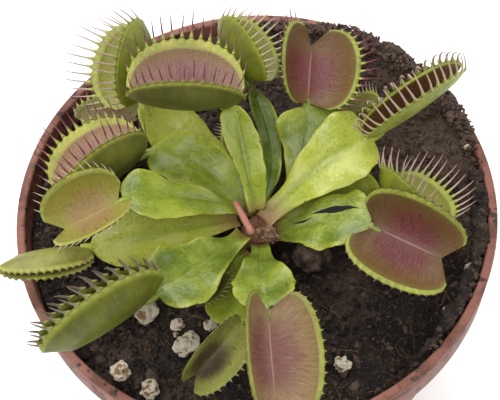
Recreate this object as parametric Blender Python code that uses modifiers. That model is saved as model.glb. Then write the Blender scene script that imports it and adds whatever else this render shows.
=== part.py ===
"""A Venus flytrap growing in a round plastic nursery pot.

The origin is the centre of the pot's underside, +Z is up and +X is to the right of the
front view.  The plant is a rosette of seventeen leaves.  Each leaf is two solids: a flat,
winged leaf stalk that starts at the crown, and a trap of two toothed lobes at its end.
Leaf sizes are written in millimetres and degrees, with heights counted from the pot's
rim; everything is modelled in metres.
"""

from math import cos, pi, radians, sin
from typing import NamedTuple

import bmesh
import bpy
import numpy as np
from mathutils import Euler, Vector

MM = 0.001
COLLECTION_NAME = "venus_flytrap_pot"

# Pot, in metres.
RIM_RADIUS = 0.045
POT_HEIGHT = 0.078
BASE_RADIUS = 0.031
WALL = 0.0013
COLLAR_HEIGHT = 0.0095
COLLAR_STEP = 0.0011
LIP_WIDTH = 0.0017
FLOOR_THICKNESS = 0.0016
CORNER = 0.0012
LIP_ROUND = 0.0005
COLLAR_TAPER = 0.0004
SHOULDER = 0.0015
DRAIN_COUNT = 6
DRAIN_RADIUS = 0.0032
DRAIN_RING = 0.021
POT_SIDES = 48

# Soil and crown, in metres.
GAP = 0.0003
SOIL_DROP = 0.0050
SOIL_SIDES = 40
CROWN_CENTRE = (0.0002, -0.0046)
CROWN_HOLE_RADIUS = 0.0043
CROWN_HOLE_DEPTH = 0.0070

# Leaves.
STALK_STEPS = 11
STALK_COLUMNS = 5
STALK_THICKNESS = 0.65
STALK_RIB = 0.60
LOBE_ROWS = (1.0, 0.68, 0.34)
LOBE_THICKNESS = 0.70
HINGE_ABOVE = 0.35
HINGE_BELOW = 0.75
TOOTH_LENGTH = 4.2


class Stalk(NamedTuple):
    """A winged leaf stalk: where it leaves the crown, and the form of its blade."""

    turn: float            # direction of the root from the crown's centre
    reach: float           # distance of the root from the crown's centre
    height: float          # height of the root above the rim
    arch: float            # rise of the middle above a straight line
    bend: float            # swing of the middle to the leaf's left
    width: float           # widest part of the blade
    fold: float            # how far the two wings are folded up
    roll: float = 0.0      # twist of the blade towards its end
    peak: float = 1.9      # larger values move the widest part outwards
    neck: float = 0.26     # width at the root, as a share of the full width
    wave: float = 0.5      # height of the waves in the edges
    skew: float = 0.0      # how much further out the left wing is widest than the right
    ear: float = 0.8       # how far the shoulders of the wings reach ahead


class Trap(NamedTuple):
    """A trap: where its hinge starts, how it points, and the form of its two lobes."""

    base: tuple            # start of the hinge, from the centre of the rim
    yaw: float             # compass direction of the hinge
    pitch: float           # rise of the hinge
    lean: float            # turn of the mouth about the hinge, to the leaf's left
    gape: float            # half of the angle between the lobes
    hinge: float           # length of the hinge
    depth: float           # from the hinge to the lobe's margin
    teeth: int             # teeth on each lobe
    back: float = 0.20     # how far the lobes reach behind the hinge
    front: float = 0.27    # how far the lobes reach past the hinge
    heel: float = 0.36     # depth of the lobe at its inner end
    toe: float = 0.36      # depth of the lobe at its outer end
    tooth: float = TOOTH_LENGTH
    gap: float = 0.7       # distance from the end of the stalk to the hinge


LEAVES = {
    "leaf_01": (
        Stalk(100, 1.3, 4.8, 1.2, 0.4, 8.2, 38, peak=1.7, neck=0.36, wave=0.3, skew=0.5),
        Trap((-3.4, 13.8, 14.3), 177, 7, -24, 34, 14.8, 12.6, 11,
             heel=0.24, toe=0.24, gap=1.5)),
    "leaf_02": (
        Stalk(103, 4.3, -1.5, -3.0, -2.4, 11.0, 12, roll=9),
        Trap((-20.0, 20.6, 8.0), 74, 21, 57, 33, 11.6, 11.2, 10, gap=1.1)),
    "leaf_03": (
        Stalk(126, 4.3, -3.0, -0.8, 0.0, 4.0, 8, wave=0.2),
        Trap((-22.2, 23.0, -1.5), 188, 6, -20, 52, 9.0, 6.0, 8, tooth=3.4)),
    "leaf_04": (
        Stalk(114, 4.1, 0.2, 2.7, -1.2, 11.5, 14, peak=1.7, neck=0.32, skew=0.25),
        Trap((-20.0, 11.0, 4.9), 212, -6, -38, 34, 14.0, 12.0, 11,
             back=0.13, heel=0.28, toe=0.28, gap=1.2)),
    "leaf_05": (
        Stalk(128, 3.7, 2.5, 2.0, -0.8, 10.5, 8, peak=2.3, skew=-0.3, ear=1.6),
        Trap((-24.5, -3.4, 12.0), 202, -7, 5, 41, 10.4, 9.0, 9, gap=0.9)),
    "leaf_06": (
        Stalk(147, 4.3, 0.1, 1.0, 0.2, 12.6, 8),
        Trap((-31.1, -7.8, 4.0), 187, 8, 74, 8, 12.9, 6.0, 9, back=0.06, tooth=1.2)),
    "leaf_07": (
        Stalk(219, 3.5, 2.4, 1.4, 0.8, 13.8, 10, peak=2.2, wave=0.7, skew=0.1, ear=1.4),
        Trap((-19.3, -21.2, 9.2), 211, -2, -17, 4.5, 16.8, 10.2, 10, heel=0.24)),
    "leaf_08": (
        Stalk(246, 4.3, -2.1, -1.2, -3.4, 9.5, 5, wave=0.2),
        Trap((-4.7, -25.3, 3.2), 224, -9, 34, 33, 11.2, 6.8, 9, back=0.08, gap=1.1)),
    "leaf_09": (
        Stalk(270, 3.9, 1.0, 1.0, -0.2, 11.5, 10, peak=2.1, neck=0.28),
        Trap((0.5, -26.4, 9.7), 270, -13, 25, 46, 15.0, 9.6, 10, heel=0.46, gap=0.9)),
    "leaf_10": (
        Stalk(335, 3.5, 0.5, 1.3, 0.9, 12.5, 10, peak=1.8, skew=0.2, ear=0.0),
        Trap((21.0, -11.2, 8.9), -33, -2, -27, 50, 12.8, 10.2, 10,
             back=0.26, front=0.25, heel=0.42, toe=0.50, gap=1.0)),
    "leaf_11": (
        Stalk(12, 4.2, -1.4, -0.4, 0.8, 11.0, 10),
        Trap((23.6, -1.3, 4.4), -58, 11, 46, 36, 11.0, 8.8, 10,
             back=0.10, heel=0.46, toe=0.46, gap=0.9)),
    "leaf_12": (
        Stalk(350, 1.2, 3.2, 2.6, 0.8, 14.8, 12, peak=2.4, neck=0.24, skew=0.24, ear=2.3),
        Trap((23.1, 8.0, 9.0), 25, 16, 4, 16, 16.0, 6.8, 11, back=0.12)),
    "leaf_13": (
        Stalk(48, 4.1, -0.3, 0.9, -2.8, 12.5, 10, peak=2.9, neck=0.22, ear=1.4),
        Trap((11.3, 16.0, 9.7), 81, 10, -22, 46, 11.5, 10.4, 9, back=0.17, heel=0.42)),
    "leaf_14": (
        Stalk(83, 3.4, 1.5, -2.6, -3.2, 4.4, 15, neck=0.45, wave=0.5),
        Trap((0.7, 22.1, 9.4), 121, 22, -59, 38, 10.4, 9.3, 10,
             front=0.21, heel=0.44, toe=0.30)),
    "leaf_15": (
        Stalk(38, 4.3, -2.2, -1.0, 0.0, 4.0, 10, wave=0.2),
        Trap((17.9, 15.5, 2.6), 20, 8, 21, 32, 6.7, 4.0, 7, tooth=2.4)),
    "leaf_16": (
        Stalk(90, 4.3, -2.8, -0.5, 0.0, 2.6, 10, wave=0.1),
        Trap((-3.2, 14.1, -1.1), 80, 10, 40, 30, 4.6, 3.0, 5, tooth=1.5)),
    "leaf_17": (
        Stalk(230, 4.1, -0.7, 0.9, -0.4, 2.4, 10, wave=0.1),
        Trap((-7.4, -14.6, 1.0), 232, 4, 16, 40, 4.8, 3.0, 5, tooth=1.6, gap=0.8)),
}

# Loose grains on the soil: x and y in millimetres, then the size in millimetres.
PERLITE = (
    (-21.8, -18.0, 2.0),
    (-15.9, -20.9, 1.1),
    (-14.6, -25.2, 1.9),
    (-10.2, -21.6, 1.1),
    (-26.4, -29.4, 1.5),
    (-21.2, -33.2, 1.6),
    (13.0, -31.5, 1.3),
    (38.4, -15.1, 0.9),
)
BARK_CHIP = (9.8, -10.4, 3.1)


def clear_scene():
    """Empty the file of the objects it opened with."""
    for item in list(bpy.data.objects):
        bpy.data.objects.remove(item, do_unlink=True)


def make_collection(name, hidden=False):
    """A new collection under the scene."""
    collection = bpy.data.collections.new(name)
    bpy.context.scene.collection.children.link(collection)
    collection.hide_render = hidden
    return collection


def make_material(name, colour, roughness, specular=0.5):
    """A plain Principled material."""
    material = bpy.data.materials.new(name)
    material.use_nodes = True
    shader = material.node_tree.nodes["Principled BSDF"]
    shader.inputs["Base Color"].default_value = (*colour, 1.0)
    shader.inputs["Roughness"].default_value = roughness
    shader.inputs["Metallic"].default_value = 0.0
    shader.inputs["Specular IOR Level"].default_value = specular
    material.diffuse_color = (*colour, 1.0)
    return material


def add_object(name, mesh, material, collection, sharp_angle=40):
    """Put a mesh in the scene, shaded smooth with its sharp edges kept."""
    item = bpy.data.objects.new(name, mesh)
    collection.objects.link(item)
    mesh.materials.clear()
    mesh.materials.append(material)
    mesh.shade_smooth()
    mesh.set_sharp_from_angle(angle=radians(sharp_angle))
    return item


def add_turned(name, profile, sides, material, collection):
    """A solid turned about Z from (radius, height) points, run down its outer side."""
    mesh = bpy.data.meshes.new(name)
    points = [(radius, 0.0, height) for radius, height in profile]
    mesh.from_pydata(points, [(i, i + 1) for i in range(len(points) - 1)], [])
    item = bpy.data.objects.new(name, mesh)
    collection.objects.link(item)
    screw = item.modifiers.new("turn", "SCREW")
    screw.steps = sides
    screw.render_steps = sides
    screw.use_merge_vertices = True
    screw.merge_threshold = 0.00001
    screw.use_smooth_shade = True
    mesh.materials.append(material)
    return item


# ---------------------------------------------------------------- pot


def make_pot(collection, cutters, material):
    """The pot: a tapered wall with a stepped collar and a lip, and drain holes round its base."""
    top = POT_HEIGHT
    collar_low = top - COLLAR_HEIGHT
    collar_radius = RIM_RADIUS - COLLAR_TAPER
    wall_top = collar_radius - COLLAR_STEP
    inner_top = RIM_RADIUS - LIP_WIDTH
    inner_low = BASE_RADIUS - WALL
    profile = [
        (0.0, FLOOR_THICKNESS),
        (inner_low - CORNER, FLOOR_THICKNESS),
        (inner_low, FLOOR_THICKNESS + CORNER),
        (wall_top - WALL, collar_low - SHOULDER),
        (inner_top - COLLAR_TAPER, collar_low + SHOULDER),
        (inner_top, top - LIP_ROUND),
        (inner_top + LIP_ROUND, top),
        (RIM_RADIUS - LIP_ROUND, top),
        (RIM_RADIUS, top - LIP_ROUND),
        (collar_radius, collar_low + LIP_ROUND),
        (collar_radius - LIP_ROUND, collar_low),
        (wall_top, collar_low),
        (BASE_RADIUS, CORNER),
        (BASE_RADIUS - CORNER, 0.0),
        (0.0, 0.0),
    ]
    pot = add_turned("pot", profile, POT_SIDES, material, collection)
    for index in range(DRAIN_COUNT):
        angle = 2 * pi * (index + 0.5) / DRAIN_COUNT
        place = (DRAIN_RING * cos(angle), DRAIN_RING * sin(angle), 0.0)
        bpy.ops.mesh.primitive_cylinder_add(
            vertices=12, radius=DRAIN_RADIUS, depth=0.006, location=place)
        cutter = bpy.context.object
        cutter.name = f"drain_cutter_{index + 1}"
        cutter.hide_render = True
        cutter.display_type = "WIRE"
        for holder in list(cutter.users_collection):
            holder.objects.unlink(cutter)
        cutters.objects.link(cutter)
    drain = pot.modifiers.new("drain_holes", "BOOLEAN")
    drain.operation = "DIFFERENCE"
    drain.operand_type = "COLLECTION"
    drain.collection = cutters
    drain.solver = "EXACT"
    return pot


def pot_inner_radius(height):
    """Radius of the pot's inner wall at a height between its floor and its collar."""
    low = FLOOR_THICKNESS + CORNER
    high = POT_HEIGHT - COLLAR_HEIGHT - SHOULDER
    share = (height - low) / (high - low)
    low_radius = BASE_RADIUS - WALL
    high_radius = RIM_RADIUS - COLLAR_TAPER - COLLAR_STEP - WALL
    return low_radius + (high_radius - low_radius) * share


# ---------------------------------------------------------------- soil


def smooth_step(low, high, value):
    """Rise smoothly from 0 at low to 1 at high."""
    share = np.clip((value - low) / (high - low), 0.0, 1.0)
    return share * share * (3 - 2 * share)


def soil_height(x, y):
    """Height of the soil above the pot's underside: low waves, and a bank at the back right."""
    radius = np.hypot(x, y)
    turn = np.arctan2(y, x)
    waves = 0.00022 * np.sin(410 * x + 1.0) * np.cos(370 * y)
    waves = waves + 0.00016 * np.sin(760 * x - 520 * y + 0.6)
    side = np.clip(np.cos((turn - radians(42)) * 1.15), 0.0, 1.0)
    side = np.where(np.abs(turn - radians(42)) < radians(78), side, 0.0)
    bank = 0.0052 * smooth_step(0.031, 0.043, radius) * side
    dip = -0.0006 * smooth_step(0.012, 0.004, np.hypot(x - CROWN_CENTRE[0], y - CROWN_CENTRE[1]))
    return POT_HEIGHT - SOIL_DROP + waves + bank + dip


def make_soil(collection, material):
    """The soil that fills the pot, with a plain hole for the crown.

    It is a loft of rings: the bottom's edge, the side, rings of the top that shrink towards
    the crown, and the wall of the hole, with a flat cap at each end.
    """
    bottom = FLOOR_THICKNESS + GAP
    low = bottom + CORNER
    knee = POT_HEIGHT - COLLAR_HEIGHT - SHOULDER
    low_edge = pot_inner_radius(low) - GAP
    knee_edge = pot_inner_radius(knee) - GAP
    top_edge = RIM_RADIUS - LIP_WIDTH - COLLAR_TAPER - GAP
    angles = 2 * pi * np.arange(SOIL_SIDES) / SOIL_SIDES
    across, along = np.cos(angles), np.sin(angles)
    rings = [
        (low_edge - CORNER, bottom),
        (low_edge, low),
        (knee_edge, knee),
        (top_edge, knee + 2 * SHOULDER),
    ]
    stack = [np.stack([r * across, r * along, np.full(SOIL_SIDES, z)], 1) for r, z in rings]
    for share in np.linspace(1.0, 0.0, 8):
        x = across * (share * top_edge + (1 - share) * CROWN_HOLE_RADIUS)
        y = along * (share * top_edge + (1 - share) * CROWN_HOLE_RADIUS)
        x = x + (1 - share) * CROWN_CENTRE[0]
        y = y + (1 - share) * CROWN_CENTRE[1]
        stack.append(np.stack([x, y, soil_height(x, y)], 1))
    floor = stack[-1].copy()
    floor[:, 2] = POT_HEIGHT - SOIL_DROP - CROWN_HOLE_DEPTH
    stack.append(floor)
    return add_object("soil", ring_loft("soil", stack), material, collection, 60)


def ring_loft(name, rings):
    """A closed mesh through a stack of rings of equal count, capped at both ends."""
    mesh = bpy.data.meshes.new(name)
    work = bmesh.new()
    rows = [[work.verts.new(tuple(point)) for point in ring] for ring in rings]
    count = len(rows[0])
    for low, high in zip(rows, rows[1:]):
        for i in range(count):
            j = (i + 1) % count
            work.faces.new((low[i], low[j], high[j], high[i]))
    work.faces.new(rows[0][::-1])
    work.faces.new(rows[-1])
    bmesh.ops.triangulate(work, faces=work.faces[:])
    bmesh.ops.recalc_face_normals(work, faces=work.faces[:])
    work.to_mesh(mesh)
    work.free()
    return mesh


def make_grain(name, x, y, size, squash, seed, material, collection):
    """A loose rough grain that lies on the soil."""
    work = bmesh.new()
    bmesh.ops.create_icosphere(work, subdivisions=2, radius=size * MM)
    rng = np.random.default_rng(seed)
    for vert in work.verts:
        vert.co *= 1.0 + 0.16 * rng.uniform(-1.0, 1.0)
        vert.co.z *= squash
    low = min(vert.co.z for vert in work.verts)
    spread = np.linspace(-size * MM, size * MM, 5)
    ground = soil_height(x * MM + spread[:, None], y * MM + spread[None, :]).max()
    for vert in work.verts:
        vert.co.x += x * MM
        vert.co.y += y * MM
        vert.co.z += ground + GAP - low
    mesh = bpy.data.meshes.new(name)
    work.to_mesh(mesh)
    work.free()
    return add_object(name, mesh, material, collection, 60)


# ---------------------------------------------------------------- crown and flower stalk


def make_crown(collection, material):
    """The crown: the short stout stem that the leaves grow from, set in the soil's hole."""
    top = POT_HEIGHT
    profile = [
        (0.0, top + 0.0012),
        (0.0012, top + 0.0011),
        (0.0023, top + 0.0006),
        (0.0031, top - 0.0005),
        (0.0035, top - 0.0020),
        (0.0037, top - 0.0038),
        (0.0038, top - 0.0055),
        (0.0039, top - 0.0085),
        (0.0032, top - 0.0112),
        (0.0, top - 0.0114),
    ]
    crown = add_turned("crown", profile, 20, material, collection)
    crown.location = (*CROWN_CENTRE, 0.0)
    return crown


def make_flower_stalk(collection, material):
    """The base of an old flower stalk, which curves over the crown to its cut end."""
    route = (
        (-3.6, -1.4, 4.9),
        (-3.2, -2.6, 5.3),
        (-2.5, -4.4, 5.2),
        (-1.6, -6.5, 4.5),
        (-1.0, -7.7, 3.8),
    )
    curve = bpy.data.curves.new("flower_stalk", "CURVE")
    curve.dimensions = "3D"
    curve.bevel_depth = 0.00062
    curve.bevel_resolution = 2
    curve.use_fill_caps = True
    curve.resolution_u = 3
    spline = curve.splines.new("BEZIER")
    spline.bezier_points.add(len(route) - 1)
    for point, (x, y, z) in zip(spline.bezier_points, route):
        point.co = (x * MM, y * MM, POT_HEIGHT + z * MM)
        point.handle_left_type = "AUTO"
        point.handle_right_type = "AUTO"
    curve.materials.append(material)
    item = bpy.data.objects.new("flower_stalk", curve)
    collection.objects.link(item)
    return item


def make_flower_stub(collection, material):
    """The dry, knobbly cut end of the flower stalk, in front of the crown's top."""
    work = bmesh.new()
    bmesh.ops.create_icosphere(work, subdivisions=3, radius=1.0)
    for vert in work.verts:
        x, y, z = vert.co
        knob = 1.0 + 0.09 * sin(6 * x + 1) * cos(5 * y) + 0.07 * sin(8 * z + 3 * y)
        vert.co = Vector((2.2 * x, 1.5 * y, 1.1 * z)) * (knob * MM)
        vert.co.rotate(Euler((0.0, 0.0, radians(-20))))
        vert.co += Vector((1.9, -8.0, POT_HEIGHT / MM + 3.6)) * MM
    mesh = bpy.data.meshes.new("flower_stub")
    work.to_mesh(mesh)
    work.free()
    return add_object("flower_stub", mesh, material, collection, 60)


# ---------------------------------------------------------------- leaves


def unit(vectors):
    """Vectors scaled to length one."""
    return vectors / np.linalg.norm(vectors, axis=-1, keepdims=True)


def shell_mesh(name, upper, under, teeth=()):
    """A closed mesh between two grids of points, split into triangles alike on both faces.

    The grids are in millimetres.  Each tooth is (row, side, tip): the strip that closes the
    shell at that row of the left (0) or right (1) margin is drawn out to the tip.
    """
    rows, columns = upper.shape[:2]
    work = bmesh.new()
    top = [[work.verts.new(tuple(p * MM)) for p in line] for line in upper]
    low = [[work.verts.new(tuple(p * MM)) for p in line] for line in under]
    for i in range(rows - 1):
        for j in range(columns - 1):
            a, b, c, d = top[i][j], top[i + 1][j], top[i + 1][j + 1], top[i][j + 1]
            work.faces.new((a, b, c))
            work.faces.new((a, c, d))
            a, b, c, d = low[i][j], low[i + 1][j], low[i + 1][j + 1], low[i][j + 1]
            work.faces.new((a, c, b))
            work.faces.new((a, d, c))
    for j in range(columns - 1):
        work.faces.new((top[0][j], top[0][j + 1], low[0][j + 1], low[0][j]))
        work.faces.new((top[-1][j], low[-1][j], low[-1][j + 1], top[-1][j + 1]))
    tips = {(row, side): tip for row, side, tip in teeth}
    for i in range(rows - 1):
        for side, j in ((0, 0), (1, columns - 1)):
            strip = [top[i][j], low[i][j], low[i + 1][j], top[i + 1][j]]
            if side:
                strip.reverse()
            face = work.faces.new(strip)
            if (i, side) in tips:
                poked = bmesh.ops.poke(work, faces=[face])
                poked["verts"][0].co = tuple(tips[i, side] * MM)
    bmesh.ops.triangulate(work, faces=work.faces[:])
    bmesh.ops.recalc_face_normals(work, faces=work.faces[:])
    mesh = bpy.data.meshes.new(name)
    work.to_mesh(mesh)
    work.free()
    return mesh


def trap_frame(trap):
    """The trap's own directions: along the hinge, to its left, and out of its mouth."""
    yaw, pitch, lean = radians(trap.yaw), radians(trap.pitch), radians(trap.lean)
    along = np.array([cos(yaw) * cos(pitch), sin(yaw) * cos(pitch), sin(pitch)])
    level = np.array([-sin(yaw), cos(yaw), 0.0])
    above = np.cross(along, level)
    left = cos(lean) * level - sin(lean) * above
    mouth = cos(lean) * above + sin(lean) * level
    return along, left, mouth


def trap_origin(trap):
    """The start of the hinge in world millimetres."""
    return np.array(trap.base) + np.array([0.0, 0.0, POT_HEIGHT / MM])


def lobe_points(trap, side, share, out, lift):
    """Points of one lobe, side +1 left or -1 right.

    share runs along the lobe and out runs from the hinge (0) to the margin (1).  The margin
    is a half round whose ends reach behind and past the hinge, the lobe is dished towards
    the mouth, and lift moves the points off the lobe's middle surface, inwards if positive.
    """
    along, left, mouth = trap_frame(trap)
    gape = radians(trap.gape)
    middle = 0.5 + (trap.front - trap.back) / 2
    half = 0.5 + (trap.front + trap.back) / 2
    margin_x = trap.hinge * (middle - half * np.cos(pi * share))
    corner = trap.heel + (trap.toe - trap.heel) * share
    swell = np.clip(np.sin(pi * share), 0.0, 1.0)
    margin_y = trap.depth * (corner + (1 - corner) * swell ** 0.8)
    x = trap.hinge * share * (1 - out) + margin_x * out
    y = margin_y * out
    dish = 0.16 * trap.depth * 4 * out * (1 - out) * swell ** 0.5
    sag = 0.03 * trap.hinge * 4 * share * (1 - share)
    outward = side * sin(gape) * left + cos(gape) * mouth
    inward = -side * cos(gape) * left + sin(gape) * mouth
    return (trap_origin(trap) + x[..., None] * along + y[..., None] * outward
            - (dish - lift)[..., None] * inward - sag[..., None] * mouth)


def tooth_tip(trap, side, share):
    """The tip of the tooth at a place on a lobe's margin, longest in the middle."""
    along, left, mouth = trap_frame(trap)
    turned = radians(trap.gape - 12)
    spread = -0.45 * cos(pi * share)
    way = spread * along + side * sin(turned) * left + cos(turned) * mouth
    length = trap.tooth * (0.55 + 0.45 * sin(pi * share))
    place = np.array(share)
    return lobe_points(trap, side, place, np.array(1.0), np.array(0.0)) + length * unit(way)


def make_trap(name, trap, material, collection):
    """A trap: one shell through both lobes and the hinge, with teeth on both margins."""
    steps = 2 * trap.teeth + 1
    share = np.linspace(0.0, 1.0, steps + 1)
    mouth = trap_frame(trap)[2]
    half = LOBE_THICKNESS / 2
    inner, outer = [], []
    for side, rows in ((1, LOBE_ROWS), (-1, LOBE_ROWS[::-1])):
        for row in rows:
            out = np.full_like(share, row)
            inner.append(lobe_points(trap, side, share, out, half + 0 * share))
            outer.append(lobe_points(trap, side, share, out, -half + 0 * share))
        if side == 1:
            hinge = lobe_points(trap, side, share, 0 * share, 0 * share)
            inner.append(hinge + HINGE_ABOVE * mouth)
            outer.append(hinge - HINGE_BELOW * mouth)
    teeth = []
    for row in range(steps):
        side = 1 if row % 2 == 0 else -1
        tip = tooth_tip(trap, side, (row + 0.5) / steps)
        teeth.append((row, 0 if side == 1 else 1, tip))
    mesh = shell_mesh(name, np.stack(inner, 1), np.stack(outer, 1), teeth)
    return add_object(name, mesh, material, collection, 50)


def stalk_points(stalk, end, along, across):
    """Points of the upper face of a leaf stalk's blade.

    The midline is a parabola from the crown to its end, arched upwards and bent sideways.
    The blade widens along a sine from a narrow root, its wings fold up from the midline, and
    its edges are waved.
    """
    turn = radians(stalk.turn)
    crown = np.array([*CROWN_CENTRE, POT_HEIGHT]) / MM
    start = crown + np.array([stalk.reach * cos(turn), stalk.reach * sin(turn), stalk.height])
    run = end - start
    level = unit(np.array([-run[1], run[0], 0.0]))
    top = (start + end) / 2 + 2 * (np.array([0.0, 0.0, stalk.arch]) + stalk.bend * level)
    u = along[..., None]
    midline = (1 - u) ** 2 * start + 2 * u * (1 - u) * top + u ** 2 * end
    heading = unit(2 * (1 - u) * (top - start) + 2 * u * (end - top))
    left = unit(np.cross(np.array([0.0, 0.0, 1.0]), heading))
    above = np.cross(heading, left)
    roll = np.radians(stalk.roll) * u
    side = np.cos(roll) * left - np.sin(roll) * above
    up = np.cos(roll) * above + np.sin(roll) * left
    neck = stalk.neck * (1 - along) + 0.12 * along
    peak = stalk.peak * (1 + stalk.skew * np.sign(across))
    swell = np.clip(np.sin(pi * along ** peak), 0.0, 1.0) ** 0.75
    half_width = 0.5 * stalk.width * (neck + (1 - neck) * swell)
    fold = radians(stalk.fold)
    wing = np.sqrt(across ** 2 + 0.01) - 0.1
    phase = np.where(across > 0, 0.8, 2.6)
    wave = stalk.wave * across ** 2 * np.sin(5 * pi * along + phase)
    aside = half_width * across * cos(fold)
    rise = half_width * wing * sin(fold) + wave
    ahead = stalk.ear * across ** 2 * swell * along ** 2
    return (midline + aside[..., None] * side + rise[..., None] * up
            + ahead[..., None] * heading)


def make_stalk(name, stalk, trap, material, collection):
    """A leaf stalk: a waved blade, thicker along its midline, that ends just behind its trap."""
    end = trap_origin(trap) - trap.gap * trap_frame(trap)[0]
    along = np.linspace(0.0, 1.0, STALK_STEPS + 1)[:, None] * np.ones(STALK_COLUMNS)
    across = np.linspace(-1.0, 1.0, STALK_COLUMNS) * np.ones((STALK_STEPS + 1, 1))
    upper = stalk_points(stalk, end, along, across)
    ahead = stalk_points(stalk, end, np.clip(along + 0.01, 0, 1), across)
    behind = stalk_points(stalk, end, np.clip(along - 0.01, 0, 1), across)
    aside = stalk_points(stalk, end, along, across + 0.02)
    other = stalk_points(stalk, end, along, across - 0.02)
    normal = unit(np.cross(ahead - behind, aside - other))
    thickness = STALK_THICKNESS + STALK_RIB * np.exp(-(across / 0.25) ** 2)
    mesh = shell_mesh(name, upper, upper - thickness[..., None] * normal)
    return add_object(name, mesh, material, collection, 50)


def main():
    """Build the whole object."""
    clear_scene()
    parts = make_collection(COLLECTION_NAME)
    cutters = make_collection("cutters", hidden=True)
    make_pot(parts, cutters, make_material("pot_plastic", (0.42, 0.105, 0.065), 0.45))
    make_soil(parts, make_material("soil", (0.035, 0.022, 0.016), 0.95, 0.2))
    make_crown(parts, make_material("crown", (0.30, 0.16, 0.07), 0.6))
    make_flower_stalk(parts, make_material("flower_stalk", (0.55, 0.21, 0.14), 0.4))
    make_flower_stub(parts, make_material("flower_stub", (0.22, 0.10, 0.05), 0.85))
    green = make_material("leaf_stalk", (0.30, 0.45, 0.06), 0.4)
    for name, (stalk, trap) in LEAVES.items():
        lobes = make_material(f"{name}_trap", (0.32, 0.20, 0.07), 0.45)
        make_stalk(f"{name}_stalk", stalk, trap, green, parts)
        make_trap(f"{name}_trap", trap, lobes, parts)
    white = make_material("perlite", (0.75, 0.70, 0.60), 0.9)
    for index, (x, y, size) in enumerate(PERLITE):
        make_grain(f"perlite_{index + 1:02d}", x, y, size, 0.7, index, white, parts)
    brown = make_material("bark_chip", (0.06, 0.035, 0.022), 0.95, 0.2)
    make_grain("bark_chip", *BARK_CHIP, 0.95, 40, brown, parts)


if __name__ == "__main__":
    main()
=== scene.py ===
"""The looks of a Venus flytrap in a nursery pot, worked out as surfaces over its frame.

Lengths in the leaf table are millimetres and angles are degrees, with heights counted from
the pot's rim.  Everything in Blender is in metres.
"""

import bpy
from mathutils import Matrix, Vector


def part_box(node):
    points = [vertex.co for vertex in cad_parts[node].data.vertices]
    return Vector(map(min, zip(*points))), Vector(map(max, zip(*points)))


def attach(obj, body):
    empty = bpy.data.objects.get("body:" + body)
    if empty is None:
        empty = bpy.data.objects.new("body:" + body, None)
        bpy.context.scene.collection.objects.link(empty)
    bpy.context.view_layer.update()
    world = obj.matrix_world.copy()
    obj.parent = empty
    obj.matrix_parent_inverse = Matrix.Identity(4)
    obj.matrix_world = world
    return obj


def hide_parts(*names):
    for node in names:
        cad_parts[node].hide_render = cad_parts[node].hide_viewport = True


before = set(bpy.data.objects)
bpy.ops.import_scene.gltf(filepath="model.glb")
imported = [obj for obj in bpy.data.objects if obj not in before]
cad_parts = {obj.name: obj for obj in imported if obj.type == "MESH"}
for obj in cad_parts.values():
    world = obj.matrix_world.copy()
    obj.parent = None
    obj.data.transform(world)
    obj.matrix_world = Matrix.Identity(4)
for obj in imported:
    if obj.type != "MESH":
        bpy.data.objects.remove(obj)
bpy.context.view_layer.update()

from math import cos, pi, radians, sin
from typing import NamedTuple

import bmesh
import bpy
import numpy as np
from bpy.props import FloatProperty, FloatVectorProperty, IntProperty, PointerProperty
from mathutils import Matrix, Vector

bl_info = {
    "name": "Potted Venus flytrap",
    "version": (1, 0, 0),
    "blender": (4, 5, 0),
    "location": "View3D > Sidebar > Flytrap",
    "description": "Makes the pot, soil, leaves and traps of a Venus flytrap",
    "category": "Object",
}

MM = 0.001
RIM_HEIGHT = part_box("pot")[1].z
RIM_RADIUS = 0.045
TAPER = 0.0004                         # how much the pot narrows below its lip
SOIL_EDGE = RIM_RADIUS - 0.0024        # a little way inside the pot's lip
SOIL_DROP = 0.0050                     # from the rim down to the soil
BANK_TURN = radians(42)                # direction in which the soil is banked up
CROWN_CENTRE = (0.0002, -0.0046)
UPWARDS = np.array([[0.0, 0.0, 1.0]])
OPEN_GAPE = 15                         # a trap that gapes wider flares at its edges
HAIRY_HINGE = 8                        # a trap with a longer hinge shows its trigger hairs
HEAP_MIDDLE = 0.0427                   # radius along which soil is heaped over the rim
HEAP_HEIGHT = 0.0017
CRUMB_REACH = 0.0425                   # how far from the axis the loose pieces lie
CRUMB_ROUGHNESS = 0.38                 # how far a crumb's corners stand in or out
SENSOR_WIDTH = 36.0
CAMERA_AIM = Vector((-0.0009, 0.0017, RIM_HEIGHT))
FLOOR_SIZE = 8.0
FLOOR_GAP = 0.0002                     # from the floor up to the pot


# ================================================================ the leaves


class Stalk(NamedTuple):
    """A winged leaf stalk: where it leaves the crown, and the form of its blade."""

    turn: float            # direction of the root from the crown's centre
    reach: float           # distance of the root from the crown's centre
    height: float          # height of the root above the rim
    arch: float            # rise of the middle above a straight line
    bend: float            # swing of the middle to the leaf's left
    width: float           # widest part of the blade
    fold: float            # how far the two wings are folded up
    roll: float = 0.0      # twist of the blade towards its end
    peak: float = 1.9      # larger values move the widest part outwards
    neck: float = 0.26     # width at the root, as a share of the full width
    wave: float = 0.5      # height of the waves in the edges
    skew: float = 0.0      # how much further out the left wing is widest than the right
    ear: float = 0.8       # how far the shoulders of the wings reach ahead


class Trap(NamedTuple):
    """A trap: where its hinge starts, how it points, and the form of its two lobes."""

    base: tuple            # start of the hinge, from the centre of the rim
    yaw: float             # compass direction of the hinge
    pitch: float           # rise of the hinge
    lean: float            # turn of the mouth about the hinge, to the leaf's left
    gape: float            # half of the angle between the lobes
    hinge: float           # length of the hinge
    depth: float           # from the hinge to the lobe's margin
    back: float = 0.20     # how far the lobes reach behind the hinge
    front: float = 0.27    # how far the lobes reach past the hinge
    heel: float = 0.36     # depth of the lobe at its inner end
    toe: float = 0.36      # depth of the lobe at its outer end
    gap: float = 0.7       # distance from the end of the stalk to the hinge


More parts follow.
